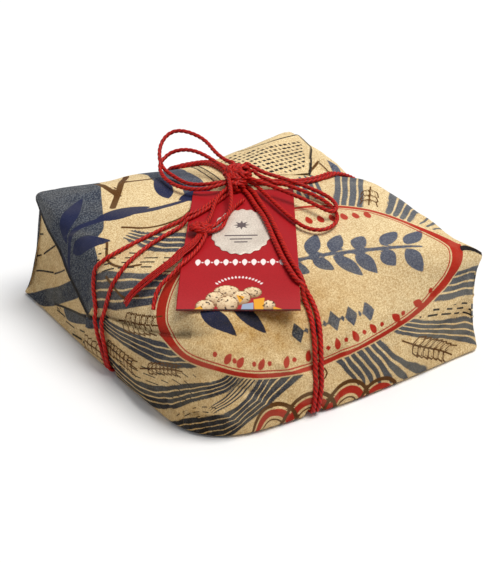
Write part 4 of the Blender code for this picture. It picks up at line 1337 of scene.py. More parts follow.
def set_field(made, name, values, domain="POINT"):
    """A three-part value for each vertex, or each face corner, that materials can read."""
    field = made.data.attributes.new(name, "FLOAT_VECTOR", domain)
    field.data.foreach_set("vector", np.ascontiguousarray(values, np.float32).ravel())


def grid_faces(rows, columns, closed=True):
    """Quads between rows of points, each row closed on itself or open."""
    faces = []
    for row in range(rows - 1):
        for column in range(columns if closed else columns - 1):
            after = (column + 1) % columns
            faces.append((row * columns + column, (row + 1) * columns + column,
                          (row + 1) * columns + after, row * columns + after))
    return faces


def closed_faces(rows, columns):
    """Faces of a closed form: rings of points, then a tip before the first and one after the last."""
    last, count = (rows - 1) * columns, rows * columns
    around = [(here, (here + 1) % columns) for here in range(columns)]
    faces = grid_faces(rows, columns) + [(here, after, count) for here, after in around]
    return faces + [(count + 1, last + after, last + here) for here, after in around]


def wrap_rows():
    """k of each row between the knot and the pole under the parcel."""
    stretches = [np.linspace(first, first + 1, count + 1)[1:]
                 for first, count in enumerate((ROOF_ROWS, SHOULDER_ROWS, WALL_ROWS, UNDER_ROWS))]
    return np.concatenate(stretches)[:-1]


def wrap_columns():
    """s of each column, closer together towards the corners."""
    shares = [np.arange(count) / count for count in SIDE_COLUMNS]
    return np.concatenate([side + share - CORNER_CROWDING * np.sin(2 * math.pi * share) / (2 * math.pi)
                           for side, share in enumerate(shares)])


def print_fields(places, face=1.0, shade=0.0):
    """The print's fields as three-part values, ready for set_field."""
    flat = places.reshape(-1, 2)
    work, inner = printed(flat)
    faces, shades = (np.broadcast_to(np.asarray(part, float), (len(flat),)) for part in (face, shade))
    return {
        "sheet": np.stack([flat[:, 0], flat[:, 1], faces], 1),
        "stripes": work.stripes,
        "fills": np.stack([work.fills["slate"], work.fills["navy"], work.fills["red"]], 1),
        "more_fills": np.stack([inner, work.dashes[:, 3], shades], 1),
        "brown_lines": work.lines["brown"],
        "dark_lines": work.lines["dark"],
        "dashes": work.dashes[:, :3],
        "wall_shade": np.stack([patches(flat, WALL_SHADE_PATCHES), 0 * faces, 0 * faces], 1),
    }


def small_creases():
    """Random short creases, as (start, end, rise, width), lower on the top than on the sides."""
    draw = np.random.default_rng(11)
    for _ in range(SMALL_CREASES):
        middle = np.array([draw.uniform(*reach) for reach in CREASE_FIELD])
        heading = draw.uniform(0, math.pi)
        reach = draw.uniform(*CREASE_HALF_LENGTHS) * pointing(heading)
        on_top = np.abs(middle).max() < TOP_REACH
        rise = draw.uniform(-1.0, 1.0) * (RISE_ON_TOP if on_top else 1.0)
        yield middle - reach, middle + reach, rise, draw.uniform(*CREASE_WIDTHS)


def crumple(places, k):
    """Folds of the paper, in millimetres out from its smooth form."""
    x, y = places[..., 0], places[..., 1]
    slow = 0.8 * np.sin(x / 27 + 0.7) * np.sin(y / 22 + 1.1) + 0.5 * np.sin((x + 1.3 * y) / 13)
    height = slow * (0.25 + 0.75 * eased_step(k, *CRUMPLES_DEEPEN))
    strong = [(start, end, CREASE_STRENGTH * rise, width) for start, end, rise, width in CREASES]
    for start, end, rise, width in [*strong, *small_creases()]:
        start, end = np.array(start, float), np.array(end, float)
        middle = (start + end) / 2
        half_length = math.dist(start, end) / 2
        ahead = (end - start) / (2 * half_length)
        along = (x - middle[0]) * ahead[0] + (y - middle[1]) * ahead[1]
        across = (y - middle[1]) * ahead[0] - (x - middle[0]) * ahead[1]
        bend = across + CREASE_BEND * np.sin(along / half_length * 2.4 + start[0])
        reach = np.clip(1 - (along / half_length) ** 2, 0, 1)
        height = height + rise * reach * np.exp(-np.abs(bend) / width)
    return height * (1 - eased_step(k, *CRUMPLES_END)) * eased_step(k, *CRUMPLES_START)


def build_wrap(material):
    """The whole parcel as one closed sheet, with the print on every side."""
    s, k = wrap_columns(), wrap_rows()[:, None]
    rows, columns = len(k), len(s)
    side = np.floor(s + 1e-9)
    seam = np.nonzero(np.isclose(s, np.round(s)) & (s > 0.5))[0]
    grid = paper(s, k)
    places = flat_places(s, k, side)
    before = places.copy()
    before[:, seam] = flat_places(s[seam] - 1e-6, k, side[seam] - 1)
    height = crumple(places, k)
    height[:, seam] = 0
    around = np.concatenate([grid[:, -1:], grid, grid[:, :1]], axis=1)
    grid = grid + grid_normals(around)[:, 1:-1] * height[..., None]
    points = np.concatenate([grid.reshape(-1, 3), paper(0.0, 0.0)[None], paper(0.0, 4.0)[None]])
    made = new_object("printed_wrap", points, closed_faces(rows, columns), material)
    behind = behind_flap(grid, s) & (k > FLAP_TOP)
    shift = behind[..., None] * np.array(BELOW_FLAP, float)
    # The shade field: painted shade in crease hollows, under the flap's edge, along the panel's edge and
    # in the shaded spots; negative values are worn ridges
    shade = crease_shade_and_wear(height) + fold_shade(grid, s, behind) + patches(places, SHADED)
    own = print_fields(places + shift, shade=shade.ravel())
    earlier = print_fields(before + shift, shade=shade.ravel())
    corners = np.array(grid_faces(rows, columns))
    fan = np.arange(columns)
    last_row = (rows - 1) * columns
    for name, values in own.items():
        quads = values[corners]
        quads[:, 2:] = earlier[name][corners[:, 2:]]
        top = np.stack([values[fan], earlier[name][(fan + 1) % columns],
                        np.broadcast_to(values[0], (columns, 3))], 1)
        bottom = values[last_row + np.stack([fan, fan, fan], 1)]
        everything = np.concatenate([part.reshape(-1, 3) for part in (quads, top, bottom)])
        set_field(made, name, everything, "CORNER")
    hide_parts("paper_wrap")


def crease_shade_and_wear(height):
    """Painted shade in the hollows of the folds, and wear on their ridges as a negative value."""
    return np.clip(-CREASE_SHADE_AND_WEAR * height, *CREASE_SHADE_AND_WEAR_LIMITS)


def patches(places, table):
    """Soft patches of the paper, also on the layer behind the flap."""
    places = places - np.where(places[..., :1] < BELOW_FLAP_FROM, BELOW_FLAP, (0, 0))
    shade = np.zeros(places.shape[:-1])
    for x, y, reach_x, reach_y, amount in table:
        far = ((places[..., 0] - x) / reach_x) ** 2 + ((places[..., 1] - y) / reach_y) ** 2
        shade += amount * np.exp(-far)
    return shade


def fold_shade(points, s, behind):
    """Painted shade close under the flap's free edge, and painted shade along the lower panel's."""
    y, z = points[..., 1], points[..., 2]
    below = np.maximum(edge_height(FLAP_EDGE, y) - z, 0)
    shade = np.where(behind, 0.95 * np.exp(-(below / FLAP_SHADE_REACH) ** 2), 0)
    above = np.abs(edge_height(PANEL_EDGE, y) - z)
    beside_panel = (s > PANEL_REACH[0]) & (s < PANEL_REACH[1])
    return shade + np.where(beside_panel, 0.35 * np.exp(-above / PANEL_SHADE_REACH), 0)


def behind_flap(points, s):
    """Which places of the wall lie behind the left flap."""
    y, z = points[..., 1], points[..., 2]
    below = z < edge_height(FLAP_EDGE, y) + BEHIND_FLAP
    return below & (y > BEHIND_FLAP_FROM_Y) & (s > BEHIND_FLAP_REACH[0]) & (s < BEHIND_FLAP_REACH[1])


def sheet_object(name, grid, places, material, thickness=SHEET_THICKNESS,
                 printer=print_fields, shade=None):
    """A thin open sheet with both faces and its cut edge, printed on the upper face."""
    rows, columns = grid.shape[:2]
    under = grid - grid_normals(grid) * thickness
    count = rows * columns
    points = np.concatenate([grid.reshape(-1, 3), under.reshape(-1, 3)])
    top = grid_faces(rows, columns, closed=False)
    faces = top + [tuple(count + corner for corner in reversed(face)) for face in top]
    index = np.arange(count).reshape(rows, columns)
    rim = np.concatenate([index[0, :-1], index[:-1, -1], index[-1, :0:-1], index[:0:-1, 0]])
    for here, after in zip(rim, np.roll(rim, -1)):
        faces.append((int(here), int(after), int(after) + count, int(here) + count))
    made = new_object(name, points, faces, material)
    flat = np.concatenate([places.reshape(-1, 2)] * 2)
    extra = {}
    if shade is not None:
        extra["shade"] = np.tile(np.broadcast_to(shade, (rows, columns)).ravel(), 2)
    for field, values in printer(flat, np.repeat([1.0, 0.0], count), **extra).items():
        set_field(made, field, values)
    return made


def row_where(s, edge):
    """k on the left side where the paper meets a fold's free edge, for each s."""
    rows = np.linspace(1.0, 3.0, 401)
    points = paper(s, rows[:, None], recessed=False)
    below = points[..., 2] < edge_height(edge, points[..., 1])
    return rows[np.argmax(below, axis=0)]


def flap_lift(s, share):
    """How far the left flap stands off, share of the way down to its free edge."""
    free = eased_step(share, FLAP_FREE_FROM, 1.0) * (1 - eased_step(s, FLAP_HELD_FROM, FLAP_REACH[1]))
    return FLAP_GAP + FLAP_FLARE * free * (0.7 + 0.3 * np.sin(s * 31))


def panel_lift(s, share):
    """How far the lower panel stands off, share of the way down from its free edge."""
    start, end = PANEL_REACH
    taper = eased_step(s, start, PANEL_TAPERS[0]) * (1 - eased_step(s, PANEL_TAPERS[1], end))
    return PANEL_GAP + (PANEL_STEP * (1 - eased_step(share, 0.8, 1.0)) - 0.2) * taper


def covered_paper():
    """A search tree of the paper's outside, with the left side's two sheets on it."""
    s, k = np.arange(COVER_COLUMNS) / (COVER_COLUMNS / 4), wrap_rows()[:, None]
    grid = paper(s, k)
    bare = paper(s, k, recessed=False)
    normals = paper_normal(s, k)
    for reach, share, lift in ((PANEL_REACH, panel_share(s, k), panel_lift),
                               (FLAP_REACH, flap_share(s, k), flap_lift)):
        covered = (share > 0) & (share < 1) & (s > reach[0]) & (s < reach[1])
        lifted = bare + normals * (lift(s, share) + SHEET_THICKNESS)[..., None]
        grid = np.where(covered[..., None], lifted, grid)
    points = [Vector(point) for point in grid.reshape(-1, 3)]
    return BVHTree.FromPolygons(points, grid_faces(len(k), len(s)))


def flap_share(s, k):
    """Share of the way down the left flap."""
    last = row_where(s, FLAP_EDGE)
    return (k - FLAP_TOP) / (last - FLAP_TOP)


def panel_share(s, k):
    """Share of the way down the lower panel."""
    first = row_where(s, PANEL_EDGE)
    return (k - first) / (PANEL_FOOT - first)


def grid_shares(reach, columns, rows):
    """(values over a reach across the columns, shares from 0 to 1 down the rows)"""
    return np.linspace(*reach, columns), np.linspace(0, 1, rows)[:, None]


def left_sheet(name, s, k, lift, crumpling, rim, material):
    """A thin sheet that lies on the left side's paper, with rows k down each column s."""
    grid = paper(s, k, recessed=False)
    places = flat_places(s, k, np.full(len(s), LEFT_SIDE))
    height = crumpling * crumple(places, k)
    grid = grid + grid_normals(grid) * (lift + height)[..., None]
    sheet_object(name, grid, places, material, shade=crease_shade_and_wear(height) + rim)


def build_flap(material):
    """The left flap, which comes down over the folded layers with a free edge."""
    s, share = grid_shares(FLAP_REACH, *FLAP_GRID)
    k = FLAP_TOP + (row_where(s, FLAP_EDGE) - FLAP_TOP) * share
    # Painted shade along the flap's free edge
    rim = 0.95 * eased_step(share, 0.95, 0.965)
    left_sheet("left_flap", s, k, flap_lift(s, share), FLAP_CRUMPLING, rim, material)


def build_panel(material):
    """The lower panel of the left side, folded up over the paper above it."""
    s, share = grid_shares(PANEL_REACH, *PANEL_GRID)
    first = row_where(s, PANEL_EDGE)
    k = first + (PANEL_FOOT - first) * share
    # Painted shade along the panel's free upper edge
    rim = 0.5 * (1 - eased_step(share, 0.012, 0.03))
    left_sheet("lower_panel", s, k, panel_lift(s, share), PANEL_CRUMPLING, rim, material)


def between(points, share):
    """The place at each share of the way along some corner points."""
    stations = np.linspace(0, 1, len(points))
    return np.stack([np.interp(share, stations, part) for part in np.array(points, float).T], -1)


def build_ear(material):
    """The back corner's ear, folded over onto the top."""
    share, rows = grid_shares((0, 1), *EAR_GRID)
    right, left = between(EAR_RIGHT, rows), between(EAR_LEFT, rows)
    plan = left + (right - left) * share[:, None]
    free = np.maximum(eased_step(share, 0.7, 1.0), 1 - eased_step(rows, 0.0, 0.25))
    grid = raised(plan, paper_height(plan) + 0.35 + EAR_LIFT * free)
    # The shade here is painted shade along the ear's free right edge
    sheet_object("back_ear", grid, plan, material, shade=0.85 * eased_step(share, 0.975, 0.985))


def build_tuck(material):
    """A pinched fold that stands up beside the back right cord."""
    along, across = np.linspace(0, 1, TUCK_GRID[0]), np.linspace(-1, 1, TUCK_GRID[1])[:, None]
    ridge = between(TUCK_RIDGE, along)
    plan = ridge + to_the_right(ridge) * across[..., None] * TUCK_HALF_WIDTH
    rise = TUCK_RISE * np.sin(math.pi * along) ** 0.7 * (1 - np.abs(across)) ** 0.8
    grid = raised(plan, paper_height(plan) + rise - 0.2)
    # The shade here is painted shade down one side of the tuck
    sheet_object("right_tuck", grid, plan, material, shade=0.3 * np.exp(-((across + 0.8) / 0.15) ** 2))


# Cords

def smooth(points, spacing):
    """Evenly spaced points along a smooth curve through the given ones."""
    points = np.array(points, float)
    ends = [2 * points[0] - points[1], *points, 2 * points[-1] - points[-2]]
    fine = [curve_between(*four, 16) for four in zip(ends, ends[1:], ends[2:], ends[3:])]
    return spaced(np.concatenate([*fine, points[-1:]]), spacing)


def spaced(points, spacing):
    """Evenly spaced points along the straight stretches between the given ones."""
    run = np.concatenate([[0], np.cumsum(np.linalg.norm(np.diff(points, axis=0), axis=1))])
    count = max(2, round(run[-1] / spacing) + 1)
    even = np.linspace(0, run[-1], count)
    return np.stack([np.interp(even, run, points[:, axis]) for axis in range(3)], 1)


def place_on_route(place, radius):
    """(point, direction away from the paper) of one place of a cord's route."""
    if place[0] == "side":
        normal = paper_normal(*place[1:])
        return paper(*place[1:]) + normal * (radius + TOUCH_GAP), normal
    if len(place) == 2:
        place = (*place, float(paper_height(place)) + radius + TOUCH_GAP)
    return np.array(place, float), np.array([0, 0, 1.0])


def route_of(places, radius, offset=0.0):
    """A smooth route, moved sideways by offset along the paper."""
    places = [place_on_route(place, radius) for place in places]
    points = np.array([point for point, _ in places])
    away = np.array([normal for _, normal in places])
    ahead = np.gradient(points, axis=0)
    sideways = np.cross(ahead, away)
    sideways /= np.linalg.norm(sideways, axis=1, keepdims=True)
    return smooth(points + sideways * offset, SAMPLE_SPACING)


def knot_axes():
    """The knots' own axes, as rows."""
    ahead = pointing(math.radians(KNOT_TURN))
    return np.array([[*ahead, 0], [-ahead[1], ahead[0], 0], [0, 0, 1]])


def beyond_knots(points, radius):
    """The route without the stretches at its ends that lie inside a knot."""
    inside = np.zeros(len(points), bool)
    for centre, radii in (MAIN_KNOT, SMALL_KNOT):
        local = (points - np.array(centre)) @ knot_axes().T / (np.array(radii) * 0.8)
        inside |= np.linalg.norm(local, axis=1) < 1
    outside = np.nonzero(~inside)[0]
    return points[outside[0]:outside[-1] + 1]


def tucked(points):
    """The route with its ends led on into the knots that they come out of."""
    longer = list(points)
    for end, place in ((0, 0), (-1, len(points) + 1)):
        for centre, radii in (MAIN_KNOT, SMALL_KNOT):
            inward = np.array(centre) - points[end]
            if np.linalg.norm(inward @ knot_axes().T / np.array(radii)) < 1.6:
                longer.insert(place, points[end] + 0.5 * inward)
                break
    return np.array(longer)


def pushed_from_surface(points, radius, surface):
    """Points moved out until they are a cord's radius clear of a surface."""
    needed = radius + TOUCH_GAP
    moved = points.copy()
    for index, point in enumerate(points):
        near, normal, _, distance = surface.find_nearest(Vector(point))
        away = Vector(point) - near
        if away.dot(normal) < 0 and distance < 2 * HEM_RADIUS:
            moved[index] = near + normal * needed
        elif 0 < distance < needed:
            moved[index] = near + away / distance * needed
    return moved


def pushed_from_cords(points, radius, laid):
    """Points moved until they are clear of every cord that already lies there."""
    for others, other_radius in laid:
        gaps = points[:, None] - others[None]
        distances = np.linalg.norm(gaps, axis=-1)
        nearest = distances.argmin(axis=1)
        every = np.arange(len(points))
        distance = distances[every, nearest]
        needed = radius + other_radius + TOUCH_GAP
        short = np.maximum(needed - distance, 0)
        away = gaps[every, nearest] / np.maximum(distance, 1e-6)[:, None]
        points = points + away * short[:, None]
    return points


def lifted_over_card(points, radius, card):
    """Points of the upper side raised onto the card or seal that they pass over."""
    moved = points.copy()
    for index, point in enumerate(points):
        if point[2] < LOWEST_OVER_CARD:
            continue
        start = Vector((point[0], point[1], 2 * CROWN_HEIGHT))
        hit = card.ray_cast(start, Vector((0, 0, -1)))[0]
        if hit is not None:
            moved[index, 2] = max(point[2], hit[2] + radius + TOUCH_GAP)
    return moved


def settled(points, radius, surfaces, cards, laid):
    """The route as a limp cord takes it: clear of the surfaces and of the cords before it."""
    for turn in range(SETTLE_TURNS):
        if turn < SETTLE_TURNS - PUSH_ONLY_TURNS:
            middle = (points[:-2] + points[2:]) / 2
            points[1:-1] += (middle - points[1:-1]) * SETTLE_EASING
        points = pushed_from_cords(points, radius, laid)
        for card in cards:
            points = lifted_over_card(points, radius, card)
        for surface in surfaces:
            points = pushed_from_surface(points, radius, surface)
    return points


def foot_to_foot(start, end, rows):
    """Places from the foot of one side to the foot of another, under the parcel."""
    return [("side", start, k) for k in rows] + [("side", end, k) for k in reversed(rows)]


def ring_routes():
    """Routes of the four strands that go round the parcel, each from the knot to the knot."""
    front, right, back, left = RING_CROSSINGS
    across = foot_to_foot(left, right, FOOT_ROWS) + BACK_RIGHT
    along = foot_to_foot(front, back, FOOT_ROWS + HOLLOW_ROWS) + BACK
    routes = {}
    for name, upper, offset in (("side_cord_1", LEFT_STRAND_1, STRAND_OFFSET),
                                ("side_cord_2", LEFT_STRAND_2, -STRAND_OFFSET)):
        lower = route_of(across, CORD_RADIUS, offset)
        routes[name] = smooth([*route_of(upper, CORD_RADIUS)[:-1:3], *lower[::2]], SAMPLE_SPACING)
    for name, side in (("front_cord_1", 1), ("front_cord_2", -1)):
        upper = route_of(FRONT, CORD_RADIUS, side * FRONT_OFFSET)
        lower = route_of(along, CORD_RADIUS, side * STRAND_OFFSET)
        routes[name] = smooth([*upper[:-1:3], *lower[::2]], SAMPLE_SPACING)
    return routes


def surface_of(made):
    """A search tree over an object's faces, in millimetres."""
    centre = np.array([*PLAN_CENTRE, 0.0])
    points = [Vector(np.array(vertex.co) / MM + centre) for vertex in made.data.vertices]
    return BVHTree.FromPolygons(points, [tuple(face.vertices) for face in made.data.polygons])


def tube_frames(path):
    """Unit vectors across a path that turn as little as they can along it."""
    ahead = np.gradient(path, axis=0)
    ahead /= np.linalg.norm(ahead, axis=1, keepdims=True)
    start = np.cross(ahead[0], [0.31, 0.22, 0.93])
    first = [start / np.linalg.norm(start)]
    for direction in ahead[1:]:
        kept = first[-1] - direction * (first[-1] @ direction)
        first.append(kept / np.linalg.norm(kept))
    first = np.array(first)
    return first, np.cross(first, ahead)


def strand_profile(turn):
    """The outline's share of the cord's radius, where three round strands lie together."""
    half = math.pi / STRANDS
    off = np.mod(turn + half, 2 * half) - half
    return STRAND_PLACE * np.cos(off) + np.sqrt(STRAND_SIZE**2 - (STRAND_PLACE * np.sin(off)) ** 2)


def twisted_tube(path, radius, twist_start=0.0, ends=(1.0, 1.0), sides=CORD_SIDES):
    """(points, faces, lay, fine lay) of a laid cord along a path."""
    path = spaced(path, CORD_STEP)
    across, up = tube_frames(path)
    run = np.arange(len(path)) * CORD_STEP
    around = np.arange(sides) / sides * 2 * math.pi
    twist = around[None] + twist_start - 2 * math.pi * run[:, None] / TWIST_LENGTH
    profile = strand_profile(twist)
    tapers_from = max(run[-1] - TAPER_LENGTH, TAPER_LENGTH + 1)
    taper = np.interp(run, [0, TAPER_LENGTH, tapers_from, run[-1] + 1], [ends[0], 1, 1, ends[1]])
    swell = radius * profile * taper[:, None]
    points = path[:, None] + swell[..., None] * (
        across[:, None] * np.cos(around)[None, :, None] + up[:, None] * np.sin(around)[None, :, None])
    points = np.concatenate([points.reshape(-1, 3), path[:1], path[-1:]])
    faces = closed_faces(len(path), sides)
    lay = np.stack([np.broadcast_to(run[:, None], profile.shape), twist, profile], -1).reshape(-1, 3)
    fine = np.stack([run[:, None] * 0.5 + 0 * twist, twist * STRANDS, profile * 4], -1).reshape(-1, 3)
    ends_lay = np.array([[0.0, 0.0, 1.0], [run[-1], 0.0, 1.0]])
    return points, faces, np.concatenate([lay, ends_lay]), np.concatenate([fine, ends_lay])


def joined(parts):
    """Several (points, faces, lay, fine lay) as one."""
    faces, count = [], 0
    for part_points, part_faces, _, _ in parts:
        faces += [tuple(corner + count for corner in face) for face in part_faces]
        count += len(part_points)
    points, lay, fine = (np.concatenate([part[index] for part in parts]) for index in (0, 2, 3))
    return points, faces, lay, fine


def cord_object(node, parts, material):
    """Twisted cord in place of a CAD node."""
    points, faces, lay, fine = joined(parts)
    made = new_object("twisted_" + node, points, faces, material)
    set_field(made, "lay", lay)
    set_field(made, "lay_fine", fine)
    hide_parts(node)
    return made


def frayed_strands(path):
    """The loose strands of the cord's untwisted end, fanned out flat and parted at its tip."""
    draw = np.random.default_rng(5)
    sideways = to_the_right(path[:, :2])
    share = np.linspace(0, 1, len(path))
    fan = 1.8 + 2.5 * np.sin(math.pi / 2 * np.minimum(1.9 * share, 1))
    parts = []
    for number in range(FRAYED_STRANDS):
        lane = 2 * number / (FRAYED_STRANDS - 1) - 1
        parted = lane + FRAYED_PART * np.sign(lane) * share**3
        strand = path.copy()
        strand[:, :2] += sideways * (parted * (fan + 0.2 * np.sin(7 * share + number)))[:, None]
        level = 0.9 * math.cos(2.1 * number) * (1 - 0.4 * share)
        strand[:, 2] += level + 0.3 * np.sin(11 * share + 2 * number)
        if number % 2:
            strand = strand[:int(len(strand) * draw.uniform(0.72, 1.0))]
        parts.append(twisted_tube(strand, draw.uniform(0.6, 0.85), number, (1.0, 0.25), FRAYED_SIDES))
    return parts


def build_cords(card, seal, material):
    """Every cord on the route that it settles into."""
    knots = [surface_of(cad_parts[name]) for name in ("main_knot", "small_knot")]
    cards = [surface_of(card), surface_of(seal)]
    surfaces = [covered_paper(), *cards, *knots]
    wanted = [(name, route, CORD_RADIUS, None) for name, route in ring_routes().items()]
    wanted += [(name, route_of(places, radius), radius, end) for name, radius, end, places in FREE_CORDS]
    laid = []
    for name, route, radius, far_end in wanted:
        route = settled(beyond_knots(route, radius), radius, surfaces, cards, laid)
        laid.append((route, radius))
        route = tucked(route)
        if name == "frayed_end":
            made = cord_object(name, frayed_strands(smooth(route, FRAYED_SPACING)), material)
        else:
            drawn = radius * (FRONT_FULLNESS if name.startswith("front_cord") else FULLNESS)
            made = cord_object(name, [twisted_tube(smooth(route, DRAWN_SPACING), drawn)], material)
        if far_end is None:
            continue
        path = in_frame(route)
        length = float(np.linalg.norm(np.diff(path, axis=0), axis=1).sum())


def wound_knot(knot, wraps, tube_radius):
    """Cord wound round a core in rings, each with its axis and its place along it."""
    centre, radii = knot
    parts = []
    turn = np.linspace(0, 2 * math.pi, RING_STEPS)
    for axis, places in wraps:
        axis = np.array(axis, float) / np.linalg.norm(axis)
        first = np.cross(axis, (0.3, 0.2, 0.9))
        first /= np.linalg.norm(first)
        second = np.cross(axis, first)
        for number, place in enumerate(places):
            size = math.sqrt(1 - place**2)
            ring = (np.cos(turn)[:, None] * first + np.sin(turn)[:, None] * second) * size + axis * place
            ring = ring * (1 + 0.1 * np.sin(2 * turn + 2 * number + 5 * axis[0]))[:, None]
            path = np.array(centre) + (ring * (np.array(radii) - tube_radius)) @ knot_axes()
            parts.append(twisted_tube(path, tube_radius, number))
    return parts


def build_knots(material):
    """Cord wound round the main knot and the small one."""
    main = wound_knot(MAIN_KNOT, MAIN_WRAPS, MAIN_TURN_RADIUS)
    main += wound_knot(LOWER_LUMP, LOWER_WRAPS, LOWER_TURN_RADIUS)
    cord_object("main_knot", main, material)
    cord_object("small_knot", wound_knot(SMALL_KNOT, SMALL_WRAPS, SMALL_TURN_RADIUS), material)


# Tag and seal

def tag_plan(u, v):
    """Plan of a place on the tag: u from its left edge to its right, v from its top down."""
    top, foot = np.array(TAG_TOP, float), np.array(TAG_FOOT, float)
    u, v = (np.asarray(part, float)[..., None] for part in (u, v))
    left = top[0] + (foot[0] - top[0]) * v
    right = top[1] + (foot[1] - top[1]) * v
    return left + (right - left) * u


def tag_height(v):
    """Height of the tag's underside: it is level across, and lies on the highest paper there."""
    across, rows = grid_shares((0, 1), 21, TAG_ROWS + 1)
    highest = paper_height(tag_plan(across, rows)).max(axis=1)
    return np.interp(v, rows[:, 0], highest) + TOUCH_GAP


def card_fields(places, face):
    """Print of the tag: plain ornament over a small still life of round rolls."""
    count = len(places)
    fields = {ink: np.full(count, -FAR) for ink in ("white", "roll", "amber", "dark", "grey")}
    height = np.zeros(count)

    def fill(ink, shape):
        fields[ink] = np.maximum(fields[ink], distance_inside(places, np.asarray(shape, float)))

    for x in np.linspace(*TAG_LEAVES):
        fill("white", leaf(*((x, y) for y in TAG_LEAF_ENDS), TAG_LEAF_WIDTH))
    for x in np.linspace(*TAG_DOTS):
        fill("white", (x, TAG_DOTS_AT) + circle(8))
    half_length, width = ARC_TICK
    for turn in np.radians(np.linspace(*ARC_TURNS)):
        tick = pointing(-turn)
        middle = ARC_MIDDLE + ARC_RADIUS * tick
        fill("white", leaf(middle - tick * half_length, middle + tick * half_length, width))
    draw = np.random.default_rng(3)
    for x, y, wide, tall in ROLLS:
        inside = distance_inside(places, np.array([x, y]) + circle(20) * np.array([wide, tall]))
        newer = inside > 0
        height[newer] = 0.5 + (y - places[newer, 1]) / (2 * tall) + 0.25 * (inside[newer] / tall)
        height[newer & (inside < 0.6)] = -0.2
        fields["roll"] = np.maximum(fields["roll"], inside)
        for _ in range(FRUITS_EACH):
            spot = np.array([x, y]) + draw.uniform(-0.7, 0.7, 2) * (wide, tall)
            heading = draw.uniform(0, 3)
            reach = pointing(heading) * draw.uniform(0.8, 1.5)
            fill("dark", leaf(spot - reach, spot + reach, 1.3))
    for ink, shape in AROUND_ROLLS:
        fill(ink, shape)
    return {
        "sheet": np.concatenate([places, face[:, None]], 1),
        "card_fills": np.stack([fields["white"], fields["roll"], height], 1),
        "card_more": np.stack([fields["dark"], fields["amber"], fields["grey"]], 1),
    }


def build_card(material):
    """The tapered red card, printed on its upper face."""
    u, v = grid_shares((0, 1), *CARD_GRID)
    plan = tag_plan(u, v)
    height = np.broadcast_to(spaced_heights(v), plan.shape[:2]) + TAG_THICKNESS
    places = np.stack(np.broadcast_arrays(u * TAG_WIDTH, v * TAG_LENGTH), -1)
    made = sheet_object("red_tag", raised(plan, height), places, material, TAG_THICKNESS,
                        card_fields)
    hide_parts("tag_card")
    return made


def spaced_heights(v):
    """The tag's height eased from row to row, never lower than the paper below it."""
    rows = np.linspace(0, 1, TAG_ROWS + 1)
    heights = tag_height(rows)
    curve = smooth(np.stack([rows * TAG_LENGTH, 0 * rows, heights], 1), 1.0)
    return np.interp(v * TAG_LENGTH, curve[:, 0], curve[:, 2])


def build_seal(material):
    """A thin silver seal with scallops and raised rings."""
    rings = np.linspace(0, 1, SEAL_RINGS)[1:, None]
    turn = -np.arange(SEAL_SIDES) / SEAL_SIDES * 2 * math.pi
    scallop = 1 + SEAL_SCALLOP_DEPTH * np.cos(turn * SEAL_SCALLOPS)
    u = SEAL_CENTRE[0] + SEAL_RADII[0] * scallop * rings * np.cos(turn)
    v = SEAL_CENTRE[1] + SEAL_RADII[1] * scallop * rings * np.sin(turn)
    relief = sum(rise * np.exp(-(((rings - place) / width) ** 2)) for place, rise, width in SEAL_RIDGES)
    ribs = (rings > SEAL_RIBBED[0]) & (rings < SEAL_RIBBED[1])
    relief = relief + SEAL_RIB_RISE * ribs * np.cos(turn * SEAL_RIBS)
    under = spaced_heights(v) + TAG_THICKNESS + SEAL_GAP
    top = under + SEAL_THICKNESS * (1 - 0.7 * eased_step(rings, 0.96, 1.0)) + relief
    plan = tag_plan(u, v)
    upper, lower = raised(plan, top), raised(plan, under)[-1:]
    middle_height = float(spaced_heights(np.array([SEAL_CENTRE[1]]))[0]) + TAG_THICKNESS + SEAL_GAP
    centre = np.array([*tag_plan(*SEAL_CENTRE), middle_height])
    points = np.concatenate([upper.reshape(-1, 3), lower.reshape(-1, 3),
                             centre[None] + (0, 0, SEAL_THICKNESS), centre[None]])
    faces = closed_faces(len(rings) + 1, SEAL_SIDES)
    made = new_object("silver_seal", points, faces, material)
    flat = np.stack([u * TAG_WIDTH, v * TAG_LENGTH], -1).reshape(-1, 2)
    flat = np.concatenate([flat, flat[-SEAL_SIDES:], [SEAL_MIDDLE], [SEAL_MIDDLE]])
    star = STAR_CENTRE + circle(16) * np.where(np.arange(16) % 2 == 0, *STAR_RADII)[:, None]
    dark = distance_inside(flat, star)
    for y, half in SEAL_BARS:
        bar = (SEAL_MIDDLE[0], y) + np.array(SQUARE) * (half, SEAL_BAR_HALF)
        dark = np.maximum(dark, distance_inside(flat, bar))
    set_field(made, "sheet", np.concatenate([flat, np.ones((len(flat), 1))], 1))
    set_field(made, "seal_fills", np.stack([dark, 0 * dark, 0 * dark], 1))
    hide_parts("tag_seal")
    return made


# Floor, light and camera

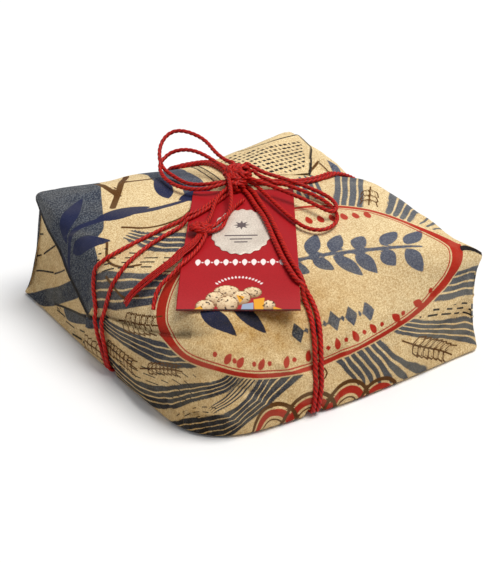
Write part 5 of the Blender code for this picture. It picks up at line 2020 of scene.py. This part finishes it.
def build_stage():
    """A pale floor, a pale sky and one broad light."""
    look = Look("pale_floor")
    look.shader.inputs["Base Color"].default_value = FLOOR_COLOUR
    look.shader.inputs["Roughness"].default_value = FLOOR_ROUGHNESS
    mesh = bpy.data.meshes.new("floor")
    corners = [(x * FLOOR_REACH, y * FLOOR_REACH, FLOOR_LEVEL) for x, y in SQUARE]
    mesh.from_pydata(corners, [], [(0, 1, 2, 3)])
    mesh.materials.append(look.material)
    placed("floor", mesh)
    world = bpy.data.worlds.new("studio")
    world.use_nodes = True
    background = world.node_tree.nodes["Background"]
    background.inputs["Color"].default_value = SKY_COLOUR
    background.inputs["Strength"].default_value = SKY_STRENGTH
    bpy.context.scene.world = world
    light = bpy.data.lights.new("key", "SUN")
    light.energy = KEY_STRENGTH
    light.angle = math.radians(KEY_SPREAD)
    light.color = KEY_COLOUR
    placed("key", light).rotation_euler = Vector(KEY_FROM).to_track_quat("Z", "Y").to_euler()
    bpy.context.scene.view_settings.view_transform = "Standard"


def build_camera():
    """A camera that sees the parcel as the photo does."""
    back, right, up = (np.array(axis) for axis in (CAMERA_BACK, CAMERA_RIGHT, CAMERA_UP))
    place = back * CAMERA_DISTANCE + right * CAMERA_ACROSS + up * CAMERA_ABOVE
    camera = bpy.data.cameras.new("camera")
    camera.lens = LENS
    camera.sensor_width = SENSOR
    camera.sensor_fit = "AUTO"
    camera.clip_end = CLIP_END
    made = placed("camera", camera)
    made.location = in_frame(place)
    made.rotation_euler = Vector(-back).to_track_quat("-Z", "Y").to_euler()
    bpy.context.scene.camera = made


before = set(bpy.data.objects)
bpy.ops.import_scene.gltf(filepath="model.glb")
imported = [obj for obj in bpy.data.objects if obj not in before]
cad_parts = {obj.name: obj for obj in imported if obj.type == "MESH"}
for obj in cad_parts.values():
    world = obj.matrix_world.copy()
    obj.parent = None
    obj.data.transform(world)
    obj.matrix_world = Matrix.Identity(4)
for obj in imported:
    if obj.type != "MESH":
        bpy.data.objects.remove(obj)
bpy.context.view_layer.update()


def main():
    build_camera()
    kraft = kraft_look()
    cord = cord_look()
    build_wrap(kraft)
    card = build_card(card_look())
    seal = build_seal(seal_look())
    build_cords(card, seal, cord)
    build_knots(cord)
    build_flap(kraft)
    build_panel(kraft)
    build_ear(kraft)
    build_tuck(kraft)
    build_stage()
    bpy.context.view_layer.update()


main()
